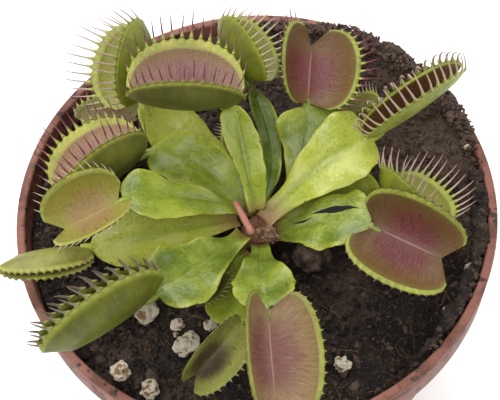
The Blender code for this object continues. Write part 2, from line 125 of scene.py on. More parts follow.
class Look(NamedTuple):
    """The finish of one leaf: its palette, its teeth and the colours of its stalk."""

    palette: str           # colours of the trap
    bristle: str           # colour of the teeth
    teeth: int             # teeth on each lobe
    length: float          # length of the longest teeth
    thick: float = 1.0     # thickness of the teeth
    curl: float = 26.0     # how far the teeth bend in over the mouth
    light: float = 0.5     # how pale the stalk is: partly its own colour, partly painted light and shade that lightens or darkens each whole stalk to how brightly it is lit
    blush: float = 0.5     # how far the pink of the root runs up the stalk
    spots: float = 0.0     # brown spots on the stalk
    painted_sparkle: float = 0.3    # fine painted sparkle on the stalk: painted highlights on its grain
    band: float = 0.85     # share of a lobe's depth where its edge band begins
    knob: float = 1.0      # height of the scallops and knobs along the margins
    sweep: float = 0.0     # how far the teeth lean towards the lobe's outer end
    heart: float = 0.5     # place along the hinge of the flush inside the lobes
    shade: float = 1.0     # lightness of the trap's colours, as a share of its palette's: partly painted light and shade, set to how brightly each trap is lit
    painted_tear_shadows: tuple = ()      # tears in the stalk, painted near-black as the shadow seen through them and not cut: along, across, half length and half width


LEAVES = {
    "leaf_01": (
        Stalk(100, 1.3, 4.8, 1.2, 0.4, 8.2, 38, peak=1.7, neck=0.36, wave=0.3, skew=0.5),
        Trap((-3.4, 13.8, 14.3), 177, 7, -24, 34, 14.8, 12.6, heel=0.24, toe=0.24, gap=1.5),
        Look("mauve", "maroon", 16, 5.2, light=0.72, blush=0.3, shade=0.88)),
    "leaf_02": (
        Stalk(103, 4.3, -1.5, -3.0, -2.4, 11.0, 12, roll=9),
        Trap((-20.0, 20.6, 8.0), 74, 21, 57, 33, 11.6, 11.2, gap=1.1),
        Look("green", "rose", 14, 6.2, light=1.0, blush=0.1, band=0.88, knob=0.8)),
    "leaf_03": (
        Stalk(126, 4.3, -3.0, -0.8, 0.0, 4.0, 8, wave=0.2),
        Trap((-22.2, 23.0, -1.5), 188, 6, -20, 52, 9.0, 6.0),
        Look("shade", "maroon", 12, 2.7, light=0.2, blush=0.2)),
    "leaf_04": (
        Stalk(114, 4.1, 0.2, 2.7, -1.2, 11.5, 14, peak=1.7, neck=0.32, skew=0.25),
        Trap((-20.0, 11.0, 4.9), 212, -6, -38, 34, 14.0, 12.0,
             back=0.13, heel=0.28, toe=0.28, gap=1.2),
        Look("mauve", "maroon", 16, 4.8, light=0.55, blush=0.2, shade=1.22)),
    "leaf_05": (
        Stalk(128, 3.7, 2.5, 2.0, -0.8, 10.5, 8, peak=2.3, skew=-0.3, ear=1.6),
        Trap((-24.5, -3.4, 12.0), 202, -7, 5, 41, 10.4, 9.0, gap=0.9),
        Look("olive", "ivory", 13, 2.6, thick=0.7, curl=6, light=0.55, blush=0.2, band=0.88,
             knob=0.7, sweep=0.5)),
    "leaf_06": (
        Stalk(147, 4.3, 0.1, 1.0, 0.2, 12.6, 8),
        Trap((-31.1, -7.8, 4.0), 187, 8, 74, 8, 12.9, 6.0, back=0.06),
        Look("pale", "green", 16, 0.6, light=1.10, blush=0.7, painted_sparkle=0.9, knob=1.3,
             shade=0.72)),
    "leaf_07": (
        Stalk(219, 3.5, 2.4, 1.4, 0.8, 13.8, 10, peak=2.2, wave=0.7, skew=0.1, ear=1.4),
        Trap((-19.3, -21.2, 9.2), 211, -2, -17, 4.5, 16.8, 10.2, heel=0.24),
        Look("green", "grey", 14, 4.6, thick=1.5, curl=30, light=0.42, blush=0.3,
             knob=1.3, sweep=0.5, shade=0.70)),
    "leaf_08": (
        Stalk(246, 4.3, -2.1, -1.2, -3.4, 9.5, 5, wave=0.2),
        Trap((-4.7, -25.3, 3.2), 224, -9, 34, 33, 11.2, 6.8, back=0.08, gap=1.1),
        Look("withered", "grey", 14, 1.2, light=0.7, blush=0.2, spots=0.8, knob=0.6,
             heart=0.72, shade=1.7)),
    "leaf_09": (
        Stalk(270, 3.9, 1.0, 1.0, -0.2, 11.5, 10, peak=2.1, neck=0.28),
        Trap((0.5, -26.4, 9.7), 270, -13, 25, 46, 15.0, 9.6, heel=0.46, gap=0.9),
        Look("rose", "green", 15, 0.8, light=0.45, blush=0.1, spots=0.5, band=0.90,
             knob=0.4)),
    "leaf_10": (
        Stalk(335, 3.5, 0.5, 1.3, 0.9, 12.5, 10, peak=1.8, skew=0.2, ear=0.0),
        Trap((21.0, -11.2, 8.9), -33, -2, -27, 50, 12.8, 10.2,
             back=0.26, front=0.25, heel=0.42, toe=0.50, gap=1.0),
        Look("plum", "maroon", 15, 0.9, light=0.52, blush=0.2, spots=0.25, painted_sparkle=0.6,
             band=0.90, knob=0.6, painted_tear_shadows=((0.60, 0.70, 0.21, 0.058), (0.27, 0.62, 0.10, 0.040)))),
    "leaf_11": (
        Stalk(12, 4.2, -1.4, -0.4, 0.8, 11.0, 10),
        Trap((23.6, -1.3, 4.4), -58, 11, 46, 36, 11.0, 8.8,
             back=0.10, heel=0.46, toe=0.46, gap=0.9),
        Look("green", "rose", 14, 5.4, light=0.80, blush=0.1, band=0.88, knob=0.8,
             shade=1.15)),
    "leaf_12": (
        Stalk(350, 1.2, 3.2, 2.6, 0.8, 14.8, 12, peak=2.4, neck=0.24, skew=0.24, ear=2.3),
        Trap((23.1, 8.0, 9.0), 25, 16, 4, 16, 16.0, 6.8, back=0.12),
        Look("bronze", "ivory", 17, 6.4, thick=1.3, curl=74, light=0.95, blush=0.8,
             painted_sparkle=0.6, band=0.90, knob=0.8)),
    "leaf_13": (
        Stalk(48, 4.1, -0.3, 0.9, -2.8, 12.5, 10, peak=2.9, neck=0.22, ear=1.4),
        Trap((11.3, 16.0, 9.7), 81, 10, -22, 46, 11.5, 10.4, back=0.17, heel=0.42),
        Look("plum", "maroon", 14, 4.4, light=0.5, blush=0.1, band=0.92, knob=0.5, shade=1.1)),
    "leaf_14": (
        Stalk(83, 3.4, 1.5, -2.6, -3.2, 4.4, 15, neck=0.45, wave=0.5),
        Trap((0.7, 22.1, 9.4), 121, 22, -59, 38, 10.4, 9.3,
             front=0.21, heel=0.44, toe=0.30),
        Look("green", "ivory", 15, 3.6, light=0.4, blush=0.2, band=0.90, knob=0.6)),
    "leaf_15": (
        Stalk(38, 4.3, -2.2, -1.0, 0.0, 4.0, 10, wave=0.2),
        Trap((17.9, 15.5, 2.6), 20, 8, 21, 32, 6.7, 4.0),
        Look("green", "ivory", 16, 2.2, thick=0.6, curl=8, light=0.35)),
    "leaf_16": (
        Stalk(90, 4.3, -2.8, -0.5, 0.0, 2.6, 10, wave=0.1),
        Trap((-3.2, 14.1, -1.1), 80, 10, 40, 30, 4.6, 3.0),
        Look("green", "ivory", 13, 1.6, thick=0.5, curl=8, light=0.3)),
    "leaf_17": (
        Stalk(230, 4.1, -0.7, 0.9, -0.4, 2.4, 10, wave=0.1),
        Trap((-7.4, -14.6, 1.0), 232, 4, 16, 40, 4.8, 3.0, gap=0.8),
        Look("withered", "ivory", 9, 1.6, thick=0.6, curl=8, light=0.2, spots=0.9)),
}

# Perlite grains as x, y and size in millimetres, in the order of their nodes.
PERLITE = (
    (-21.8, -18.0, 2.0), (-15.9, -20.9, 1.1), (-14.6, -25.2, 1.9), (-10.2, -21.6, 1.1),
    (-26.4, -29.4, 1.5), (-21.2, -33.2, 1.6), (13.0, -31.5, 1.3), (38.4, -15.1, 0.9),
)

# Small loose grains with no node of their own, given in the same way.
SMALL_GRAINS = (
    (40.3, 14.6, 0.65), (41.0, 9.0, 0.60), (15.6, 41.2, 0.60), (-16.4, -22.6, 0.5),
    (33.0, -22.0, 0.4),
)

# Colours of the traps, in linear light: outside, inside, centre of the inside, and edge.
PALETTES = {
    "mauve": ((0.125, 0.13, 0.022), (0.33, 0.185, 0.135), (0.24, 0.085, 0.10),
              (0.43, 0.43, 0.085)),
    "plum": ((0.17, 0.19, 0.022), (0.15, 0.078, 0.026), (0.15, 0.032, 0.03),
             (0.30, 0.33, 0.04)),
    "rose": ((0.20, 0.20, 0.035), (0.29, 0.185, 0.085), (0.205, 0.078, 0.062),
             (0.30, 0.30, 0.04)),
    "bronze": ((0.30, 0.34, 0.06), (0.15, 0.07, 0.025), (0.12, 0.045, 0.02),
               (0.44, 0.47, 0.08)),
    "olive": ((0.20, 0.21, 0.025), (0.30, 0.27, 0.045), (0.32, 0.21, 0.07),
              (0.34, 0.34, 0.06)),
    "green": ((0.18, 0.20, 0.014), (0.26, 0.25, 0.045), (0.25, 0.20, 0.045),
              (0.36, 0.39, 0.06)),
    "pale": ((0.33, 0.32, 0.05), (0.30, 0.28, 0.06), (0.30, 0.25, 0.06),
             (0.42, 0.41, 0.09)),
    # the shade palette is for the trap under the other leaves: its darker colours are painted
    # shade
    "shade": ((0.10, 0.105, 0.02), (0.21, 0.195, 0.055), (0.18, 0.12, 0.05),
              (0.24, 0.24, 0.05)),
    "withered": ((0.18, 0.20, 0.035), (0.19, 0.19, 0.045), (0.06, 0.04, 0.022),
                 (0.23, 0.24, 0.04)),
}

# Colours of the teeth, in linear light: root, middle and tip.
BRISTLES = {
    "maroon": ((0.42, 0.43, 0.09), (0.22, 0.055, 0.085), (0.15, 0.03, 0.06)),
    "rose": ((0.42, 0.44, 0.10), (0.56, 0.40, 0.35), (0.44, 0.25, 0.26)),
    "ivory": ((0.43, 0.46, 0.11), (0.56, 0.44, 0.33), (0.50, 0.33, 0.29)),
    "grey": ((0.33, 0.34, 0.09), (0.22, 0.16, 0.11), (0.18, 0.125, 0.095)),
    "green": ((0.30, 0.32, 0.05), (0.30, 0.30, 0.06), (0.26, 0.18, 0.11)),
}


# ================================================================ meshes


def unit(vectors):
    """Vectors scaled to length one."""
    return vectors / np.linalg.norm(vectors, axis=-1, keepdims=True)


def ramp(low, high, value):
    """Rise smoothly from 0 at low to 1 at high: three squares less two cubes."""
    share = np.clip((value - low) / (high - low), 0.0, 1.0)
    return share * share * (3 - 2 * share)


def bell(value, width):
    """A bell curve of height one: e to the minus square of value over width."""
    return np.exp(-(value / width) ** 2)


def polar(radius, turn, height):
    """Points from their distances from the axis, directions and heights."""
    return np.stack([radius * np.cos(turn), radius * np.sin(turn), height + 0 * turn], -1)


def cloud(points, size, seed, layers=3):
    """Smooth random values from about -1 to 1, with lumps of the given size.

    Each layer gives random numbers to the corners of a grid of cubes and blends the eight
    corners round a point with a smooth step.  Each next layer is half as large and as high.
    """
    entries = 8192
    primes = np.array([73856093, 19349663, 83492791])
    table = np.random.default_rng(seed).uniform(-1.0, 1.0, entries)
    total = np.zeros(points.shape[:-1])
    for layer in range(layers):
        place = points / size * 2 ** layer + 17.3 * layer
        cell = np.floor(place).astype(np.int64)
        weight = ramp(0, 1, place - cell)
        value = np.zeros_like(total)
        for corner in range(8):
            step = np.array([corner & 1, corner >> 1 & 1, corner >> 2])
            share = np.where(step == 1, weight, 1 - weight).prod(-1)
            key = (cell + step) * primes
            value += share * table[(key[..., 0] ^ key[..., 1] ^ key[..., 2]) & entries - 1]
        total += value / 2 ** layer
    return total


def make_piece(name, points, faces, material, uv=None, smooth=True, **attributes):
    """Put a mesh in the scene from points, lists of faces, and values at the points."""
    mesh = bpy.data.meshes.new(name)
    mesh.vertices.add(len(points))
    mesh.vertices.foreach_set("co", np.ascontiguousarray(points, np.float32).ravel())
    corners = np.concatenate([part.ravel() for part in faces]).astype(np.int32)
    counts = np.concatenate([np.full(len(part), part.shape[1]) for part in faces])
    mesh.loops.add(len(corners))
    mesh.loops.foreach_set("vertex_index", corners)
    mesh.polygons.add(len(counts))
    starts = np.concatenate([[0], np.cumsum(counts)[:-1]]).astype(np.int32)
    mesh.polygons.foreach_set("loop_start", starts)
    mesh.update(calc_edges=True)
    if uv is not None:
        layer = mesh.uv_layers.new(name="surface")
        layer.data.foreach_set("uv", uv[corners].astype(np.float32).ravel())
    for key, values in attributes.items():
        layer = mesh.attributes.new(key, "FLOAT", "POINT")
        layer.data.foreach_set("value", np.asarray(values, np.float32).ravel())
    mesh.materials.append(material)
    if smooth:
        mesh.shade_smooth()
    piece = bpy.data.objects.new(name, mesh)
    bpy.context.scene.collection.objects.link(piece)
    return piece


def settle(piece, slot, *nodes):
    """Fix a finished piece to the object's body and hide what it stands for."""
    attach(piece, "root")
    if nodes:
        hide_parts(*nodes)


def hoop_faces(rows, ring):
    """Quads between neighbouring rings of points, where each ring is closed."""
    i, j = np.meshgrid(np.arange(rows - 1), np.arange(ring), indexing="ij")
    k = (j + 1) % ring
    quads = np.stack([i * ring + j, i * ring + k, (i + 1) * ring + k, (i + 1) * ring + j], -1)
    return quads.reshape(-1, 4)


def end_fans(rows, ring, first, last):
    """Triangles that close the two ends of a tube of rings to its first and last points."""
    j = np.arange(ring)
    k = (j + 1) % ring
    start = (rows - 1) * ring
    return np.concatenate([np.stack([j, k, np.full(ring, first)], -1),
                           np.stack([start + k, start + j, np.full(ring, last)], -1)])


def flat_caps(rows, ring):
    """Quads that close the two ends of a thin shell, from its upper face to its lower."""
    j = np.arange(ring // 2 - 1)
    first = np.stack([j + 1, j, ring - 1 - j, ring - 2 - j], -1)
    return np.concatenate([first, first[:, ::-1] + (rows - 1) * ring])


def shell(upper, lower, along, across):
    """Points, faces and map of a thin closed sheet between an upper and a lower grid.

    The grids are in millimetres and the points in metres.  The map holds the share along
    and the share across, which the grids give from -1 to 1.
    """
    rows = upper.shape[0]
    ring = np.concatenate([upper, lower[:, ::-1]], 1)
    count = ring.shape[1]
    pair = np.stack([along, across / 2 + 0.5], -1)
    uv = np.concatenate([pair, pair[:, ::-1]], 1).reshape(-1, 2)
    return ring.reshape(-1, 3) * MM, [hoop_faces(rows, count), flat_caps(rows, count)], uv


def turned(profile, sides):
    """Points and faces of a shape turned about Z from (radius, height) points.

    The profile runs down the outer side, and its first and last points are on the axis.
    """
    radius, height = np.array(profile[1:-1]).T[..., None]
    rings = polar(radius, np.arange(sides) * 2 * pi / sides, height).reshape(-1, 3)
    poles = [[0, 0, profile[0][1]], [0, 0, profile[-1][1]]]
    fans = end_fans(len(radius), sides, len(rings), len(rings) + 1)
    return np.concatenate([rings, poles]), [hoop_faces(len(radius), sides)[:, ::-1], fans]


def strands(paths, across, thick, guide, sides=7):
    """Points, faces and the share along each of many closed, tapered strands.

    Each strand is a tube round its path with an oval section: across is its half width
    square to guide and thick is its half width along guide.  Both ends are closed to a point.
    """
    count, steps = paths.shape[:2]
    heading = unit(np.gradient(paths, axis=1))
    side = unit(np.cross(heading, guide[:, None, :]))
    over = np.cross(side, heading)
    turn = np.arange(sides) * 2 * pi / sides
    rings = (paths[:, :, None] + (across[..., None] * np.cos(turn))[..., None] * side[:, :, None]
             + (thick[..., None] * np.sin(turn))[..., None] * over[:, :, None])
    points = np.concatenate([rings.reshape(count, -1, 3), paths[:, [0, -1]]], 1)
    size = steps * sides + 2
    base = (np.arange(count) * size)[:, None, None]
    quads = (hoop_faces(steps, sides)[None, :, ::-1] + base).reshape(-1, 4)
    tips = (end_fans(steps, sides, size - 2, size - 1)[None] + base).reshape(-1, 3)
    along = np.concatenate([np.repeat(np.linspace(0, 1, steps), sides), [0, 1]])
    return points.reshape(-1, 3), [quads, tips], np.tile(along, count)


def ball(level):
    """Points and triangles of a round ball of radius one, split from an icosahedron."""
    mesh = bpy.data.meshes.new("ball")
    work = bmesh.new()
    bmesh.ops.create_icosphere(work, subdivisions=level, radius=1.0)
    work.to_mesh(mesh)
    work.free()
    points = np.empty(len(mesh.vertices) * 3)
    mesh.vertices.foreach_get("co", points)
    faces = np.empty(len(mesh.polygons) * 3, np.int32)
    mesh.polygons.foreach_get("vertices", faces)
    bpy.data.meshes.remove(mesh)
    return points.reshape(-1, 3), faces.reshape(-1, 3)


def strew(lumps, faces, places):
    """Points and faces of many lumps of the same faces, each moved to its own place."""
    count, size = lumps.shape[:2]
    faces = (faces[None] + (np.arange(count) * size)[:, None, None]).reshape(-1, 3)
    return (lumps + places[:, None]).reshape(-1, 3), [faces]


# ================================================================ finishes


class Value:
    """A number or colour that varies over a surface, held in a shader socket."""

    def __init__(self, finish, socket):
        self.finish = finish
        self.socket = socket

    def maths(self, operation, *others):
        """This value and any other through a Math node."""
        return self.finish.node("ShaderNodeMath", {"operation": operation},
                                dict(enumerate((self, *others))))

    def __add__(self, other):
        return self.maths("ADD", other)

    def __sub__(self, other):
        return self.maths("SUBTRACT", other)

    def __mul__(self, other):
        return self.maths("MULTIPLY", other)

    def __truediv__(self, other):
        return self.maths("DIVIDE", other)

    def __abs__(self):
        return self.maths("ABSOLUTE")

    __radd__ = __add__
    __rmul__ = __mul__


class Finish:
    """One material: a Principled surface whose colour, roughness and bumps are worked out."""

    def __init__(self, name, specular=0.5, subsurface=0.0, depth=0.0006):
        self.material = bpy.data.materials.new(name)
        self.material.use_nodes = True
        self.tree = self.material.node_tree
        self.surface = self.tree.nodes["Principled BSDF"]
        self.surface.inputs["Specular IOR Level"].default_value = specular
        self.surface.inputs["Subsurface Weight"].default_value = subsurface
        self.surface.inputs["Subsurface Radius"].default_value = (1.0, 1.0, 0.4)
        self.surface.inputs["Subsurface Scale"].default_value = depth
        self.place = self.node("ShaderNodeTexCoord", output="Object")

    def node(self, kind, settings=None, inputs=None, output=0):
        """A node with its settings and the values or links of its sockets."""
        node = self.tree.nodes.new(kind)
        for key, value in (settings or {}).items():
            setattr(node, key, value)
        for key, value in (inputs or {}).items():
            self.feed(node.inputs[key], value)
        return Value(self, node.outputs[output])

    def feed(self, socket, value):
        """Link a value to a socket, or set the socket."""
        if isinstance(value, Value):
            self.tree.links.new(value.socket, socket)
        elif isinstance(value, tuple) and socket.type == "RGBA":
            socket.default_value = (*value, 1.0)
        else:
            socket.default_value = value

    def step(self, value, low, high):
        """0 below low, 1 above high, and a smooth rise between; low may be above high."""
        return self.node("ShaderNodeMapRange", {"interpolation_type": "SMOOTHSTEP"},
                         {"Value": value, "From Min": low, "From Max": high})

    def layers(self, base, *layers):
        """A colour with others laid over it in turn, each given as (share, colour)."""
        for share, colour in layers:
            base = self.node("ShaderNodeMix", {"data_type": "RGBA"},
                             {0: share, 6: base, 7: colour}, output=2)
        return base

    def stops(self, share, *stops):
        """A colour that runs through (share, colour) stops."""
        value = self.node("ShaderNodeValToRGB", None, {0: share})
        elements = value.socket.node.color_ramp.elements
        while len(elements) < len(stops):
            elements.new(1.0)
        for element, (position, colour) in zip(elements, stops):
            element.position = position
            element.color = (*colour, 1.0)
        return value

    def noise(self, scale, detail=2.0, place=None, roughness=0.5):
        """Cloudy noise with so many lumps to the metre."""
        return self.node("ShaderNodeTexNoise", None,
                         {"Vector": place or self.place, "Scale": scale, "Detail": detail,
                          "Roughness": roughness})

    def cells(self, scale):
        """Distance from the nearest of many scattered points."""
        return self.node("ShaderNodeTexVoronoi", None, {"Vector": self.place, "Scale": scale})

    def part(self, vector, axis):
        """One of the three parts of a vector."""
        return self.node("ShaderNodeSeparateXYZ", None, {0: vector}, output=axis)

    def attribute(self, name):
        """A value stored at the points of the piece."""
        return self.node("ShaderNodeAttribute", {"attribute_name": name}, output="Fac")

    def surface_place(self):
        """The two shares along and across a piece, from its own map."""
        uv = self.node("ShaderNodeUVMap", {"uv_map": "surface"})
        return self.part(uv, "X"), self.part(uv, "Y")

    def streaks(self, first, second, detail):
        """Noise over two stretched shares, which draws it out into fine lines."""
        place = self.node("ShaderNodeCombineXYZ", None, {"X": first, "Y": second})
        return self.noise(1.0, detail, place=place)

    def done(self, colour, roughness, height=None, distance=0.0001, strength=1.0):
        """Join up the surface, with bumps of so many metres."""
        self.feed(self.surface.inputs["Base Color"], colour)
        self.feed(self.surface.inputs["Roughness"], roughness)
        if height is not None:
            bump = self.node("ShaderNodeBump", None,
                             {"Height": height, "Distance": distance, "Strength": strength})
            self.feed(self.surface.inputs["Normal"], bump)
        return self.material


def tinted(colour, factor, glow=0.0):
    """A colour made lighter or darker by a factor, with an even glow added."""
    return tuple(factor * tint + glow for tint in colour)


def blade_finish(name, look, plant):
    """A leaf stalk: yellow-green and finely grained, blushed pink at the root, with painted
    sparkle, painted highlights along its edges and painted shade in its fold and its tears.
    """
    finish = Finish(name, subsurface=0.08)
    along, across = finish.surface_place()
    middle = abs(across - 0.5)
    pale, deep = tuple(plant.blade_light), tuple(plant.blade_deep)
    patches = finish.noise(130.0)
    clouds = finish.noise(300.0)
    grain = finish.noise(1700.0)
    lines = finish.streaks(along * 7.0, across * 42.0, 3.0)
    # look.light is partly painted light and shade: each stalk's whole colour is made lighter or
    # darker to how brightly it is lit
    share = 1.5 * look.light - 0.75 + patches + (clouds - 0.5) * 0.5 + (lines - 0.5) * 0.3
    # painted highlight: rim lightens the edges of the wings as if they catch the light
    rim = finish.step(middle + (patches - 0.5) * 0.08, 0.37, 0.5)
    # painted shade: fold darkens the middle of the blade, in the crease over the midrib, towards
    # the outer end
    fold = finish.step(middle, 0.16, 0.05) * finish.step(along, 1.0, 0.55)
    # painted highlight: fine whitish sparkle, as light glinting off the grain
    painted_sparkle = finish.step(grain + patches * 0.3, 0.62, 0.95) * (0.02 + 0.42 * look.painted_sparkle)
    root = finish.step(along + (lines - 0.5) * 0.10, 0.05 + 0.26 * look.blush, 0.0)
    body = finish.layers(
        deep,
        (finish.step(share, 0.18, 0.82), pale),
        # palest yellow-green, on the stalks set lightest: partly painted highlight
        (finish.step(share, 0.95, 1.35) * 0.8, (0.46, 0.48, 0.065)),
        (finish.step(middle, 0.035, 0.0) * 0.18, (0.40, 0.44, 0.07)),
        # painted highlight along the edges of the wings
        (rim * 0.65, (0.38, 0.40, 0.04)),
        # painted shade in the fold
        (fold * 0.35, deep),
        (painted_sparkle, (0.50, 0.53, 0.24)),
        (finish.step(grain, 0.44, 0.30) * 0.25, tinted(deep, 0.6)),
        (root * (0.40 + 0.55 * look.blush), tuple(plant.blade_root)))
    if look.spots:
        mottle = finish.step(finish.noise(330.0), 0.70 - 0.08 * look.spots, 0.76)
        body = finish.layers(body, (mottle * 0.85, (0.060, 0.025, 0.015)))
    nicks = finish.step(middle + finish.noise(700.0, 1.0) * 0.35, 0.70, 0.74)
    body = finish.layers(body, (nicks * 0.8, (0.050, 0.035, 0.015)))
    gloss = 0.20 + 0.20 * grain
    # painted shade: each tear is a near-black patch for the shadow seen through it, and the stalk
    # is not cut there
    for place, aside, reach, wide in look.painted_tear_shadows:
        apart = (along - place) / reach
        bow = aside + 0.035 * apart * apart + (grain - 0.5) * 0.02
        ring = abs(apart) + abs(across - bow) / wide
        painted_tear_shadow = finish.step(ring, 1.30, 1.05)
        body = finish.layers(body, (painted_tear_shadow, (0.006, 0.005, 0.004)))
        gloss = gloss + painted_tear_shadow * 0.65
    height = grain * 0.5 + lines * 0.4 + clouds * 2.6 + patches * 4.0
    return finish.done(body, gloss, height, distance=0.00018, strength=0.7)


def trap_finish(name, look):
    """A trap: green outside, flushed and finely rayed inside, with a yellow-green edge."""
    *tints, edge = PALETTES[look.palette]
    # look.shade is partly painted light and shade: it makes a whole trap lighter or darker to how
    # it is lit
    outside, inside, centre = (tinted(colour, look.shade) for colour in tints)
    finish = Finish(name, specular=0.45, subsurface=0.07)
    along, across = finish.surface_place()
    inner = finish.attribute("inside")
    out = abs(across * 2.0 - 1.0)
    patches = finish.noise(240.0)
    fine = finish.noise(1500.0)
    cell = finish.cells(2000.0)
    rays = finish.streaks(along * 60.0, across * 7.0, 3.0)
    veins = finish.streaks(along * 34.0, across * 5.0, 2.0)

    heart_x = (along - look.heart) / 0.42
    heart_y = out / 0.62
    heart = heart_x * heart_x + heart_y * heart_y + (patches - 0.5) * 0.6
    dots = finish.step(cell, 0.20, 0.05) * finish.step(patches, 0.40, 0.60)
    band = finish.step(out + (fine - 0.5) * 0.03, look.band - 0.01, look.band + 0.025)
    band_colour = finish.layers(
        tinted(edge, 0.72),
        (finish.step(patches, 0.30, 0.70), tinted(edge, 1.08)),
        (finish.step(fine, 0.52, 0.72) * 0.35, (0.50, 0.50, 0.14)))
    rib = finish.step(out, 0.045, 0.01) * finish.step(abs(along - 0.5), 0.52, 0.25)
    rib_colour = tuple(0.6 * tint + glow for tint, glow in zip(inside, (0.20, 0.16, 0.10)))
    lining = finish.layers(
        inside,
        (finish.step(heart, 1.25, 0.15), centre),
        (finish.step(rays, 0.50, 0.30) * 0.40, tinted(centre, 0.45)),
        (finish.step(rays, 0.54, 0.76) * 0.40, tinted(inside, 1.3, 0.03)),
        (dots * 0.5, tinted(centre, 0.5)),
        (finish.step(out, look.band - 0.22, look.band) * 0.55,
         tuple(0.5 * tint + 0.4 * brim for tint, brim in zip(inside, edge))),
        (finish.step(abs(out - look.band), 0.018, 0.0) * 0.55, tinted(edge, 0.8, 0.12)),
        (band, band_colour),
        (rib * 0.8, rib_colour))
    skin = finish.layers(
        tinted(outside, 0.8),
        (finish.step(patches, 0.35, 0.7), tinted(outside, 1.25)),
        (finish.step(veins, 0.45, 0.65) * 0.25, tinted(outside, 1.7)),
        (finish.step(out, 0.84, 0.97) * 0.85, edge),
        (finish.step(out, 0.20, 0.0) * 0.45, (0.22, 0.26, 0.06)),
        (finish.step(fine, 0.55, 0.72) * 0.10, (0.34, 0.34, 0.12)),
        (finish.step(finish.noise(300.0, 3.0), 0.70, 0.76) * 0.5, (0.12, 0.06, 0.03)))
    glands = finish.step(cell, 0.0, 0.55)
    height = glands * (inner * 0.5 + 0.1) + fine * 0.4 + patches * 0.5 + rays * inner * 1.4
    return finish.done(finish.layers(skin, (inner, lining)), 0.34 + 0.20 * fine, height,
                       distance=0.00012, strength=0.7)


def bristle_finish(name, colours):
    """Teeth: the yellow-green of the edge at the root, and their own colour from there on."""
    finish = Finish(name, subsurface=0.15, depth=0.0003)
    root, middle, tip = colours
    shade = finish.stops(finish.attribute("along"),
                         (0.0, root), (0.16, root), (0.34, middle), (1.0, tip))
    streak = finish.noise(1500.0)
    shade = finish.layers(shade, (streak * 0.25, tinted(middle, 0.6)))
    return finish.done(shade, 0.38 + 0.1 * streak, streak, distance=0.00004)


def soil_finish(name, soil, lift=1.0):
    """Moist peat: near-black with browner crumbs, and a value at each point that shifts it."""
    finish = Finish(name, specular=0.3)
    coarse = finish.noise(230.0, 4.0)
    fine = finish.noise(1300.0, 4.0, roughness=0.7)
    share = coarse * 0.45 + fine * 0.65 + finish.attribute("tone") * 0.30
    colour = finish.layers(
        tuple(soil.dark),
        (finish.step(share, 0.44, 0.84), tinted(soil.warm, lift)),
        (finish.step(finish.noise(420.0, 3.0), 0.56, 0.70) * 0.6, (0.055, 0.024, 0.013)),
        (finish.step(finish.noise(2300.0), 0.66, 0.74) * 0.55, (0.19, 0.14, 0.10)))
    return finish.done(colour, 0.55 + 0.35 * fine, fine + coarse * 0.8, distance=0.0006)


def perlite_finish():
    """Perlite: rough off-white grains with tan stains in their hollows."""
    finish = Finish("perlite", specular=0.3, subsurface=0.1)
    stain = finish.noise(520.0, 3.0) + finish.attribute("hollow") * 0.5
    grain = finish.noise(2400.0, 3.0)
    colour = finish.layers(
        (0.56, 0.49, 0.37),
        (finish.step(stain, 0.46, 0.70), (0.24, 0.135, 0.065)),
        (finish.step(grain, 0.5, 0.7) * 0.35, (0.68, 0.63, 0.54)))
    return finish.done(colour, 0.85, grain, distance=0.00035)


def fibre_finish():
    """Dry root fibres: straw to dark brown from one to the next."""
    finish = Finish("fibre", specular=0.3)
    streak = finish.noise(1800.0)
    colour = finish.layers((0.045, 0.024, 0.014), (finish.attribute("tone"), (0.30, 0.20, 0.11)),
                           (streak * 0.4, (0.05, 0.03, 0.02)))
    return finish.done(colour, 0.75 + 0.1 * streak, streak, distance=0.00005)


def pot_finish(pot):
    """Moulded plastic in a terracotta colour, scuffed, with soil dried on it near the lip."""
    finish = Finish("pot_plastic", specular=0.40)
    height = finish.part(finish.place, "Z")
    mottle = finish.noise(90.0, 3.0)
    near_lip = finish.step(height, RIM_HEIGHT - 0.016, RIM_HEIGHT - 0.002)
    crumbs = near_lip * finish.step(finish.noise(620.0, 4.0), 0.57, 0.63)
    smear = near_lip * finish.step(finish.noise(170.0, 4.0), 0.46, 0.66)
    dust = finish.step(finish.noise(2200.0, 1.0), 0.62, 0.74)
    colour = finish.layers(
        tuple(pot.colour),
        (finish.step(mottle, 0.35, 0.7) * 0.4, tinted(pot.colour, 1.35)),
        (smear * 0.6, (0.060, 0.028, 0.020)),
        (crumbs * 0.9, (0.025, 0.016, 0.012)),
        (dust * 0.25, (0.40, 0.24, 0.18)))
    relief = finish.noise(1600.0, 3.0) * 0.5 + crumbs * 1.5
    return finish.done(colour, 0.46 + 0.16 * mottle + smear * 0.2, relief,
                       distance=0.00012, strength=0.5)


def crown_finish(plant):
    """The crown: brown-pink leaf bases, darker towards the soil."""
    finish = Finish("crown", specular=0.4, subsurface=0.08)
    fine = finish.noise(900.0, 3.0)
    height = finish.part(finish.place, "Z") + (fine - 0.5) * 0.002
    colour = finish.layers(
        (0.020, 0.013, 0.009),
        (finish.step(height, RIM_HEIGHT - 0.0035, RIM_HEIGHT + 0.001), tuple(plant.blade_root)),
        (finish.step(fine, 0.45, 0.7) * 0.6, (0.10, 0.05, 0.025)))
    return finish.done(colour, 0.6, fine, distance=0.0003)


def flower_stalk_finish():
    """The old flower stalk: pink above, yellow-green below, and browner at its cut end."""
    finish = Finish("flower_stalk", subsurface=0.1)
    fine = finish.noise(900.0)
    above = finish.attribute("around") + (fine - 0.5) * 0.6
    colour = finish.layers(
        (0.25, 0.22, 0.05),
        (finish.step(above, -0.5, 0.4), (0.46, 0.17, 0.12)),
        (finish.step(fine, 0.5, 0.7) * 0.5, (0.55, 0.30, 0.20)),
        (finish.step(finish.attribute("along"), 0.80, 1.0) * 0.6, (0.20, 0.09, 0.05)))
    return finish.done(colour, 0.35, fine, distance=0.00005)


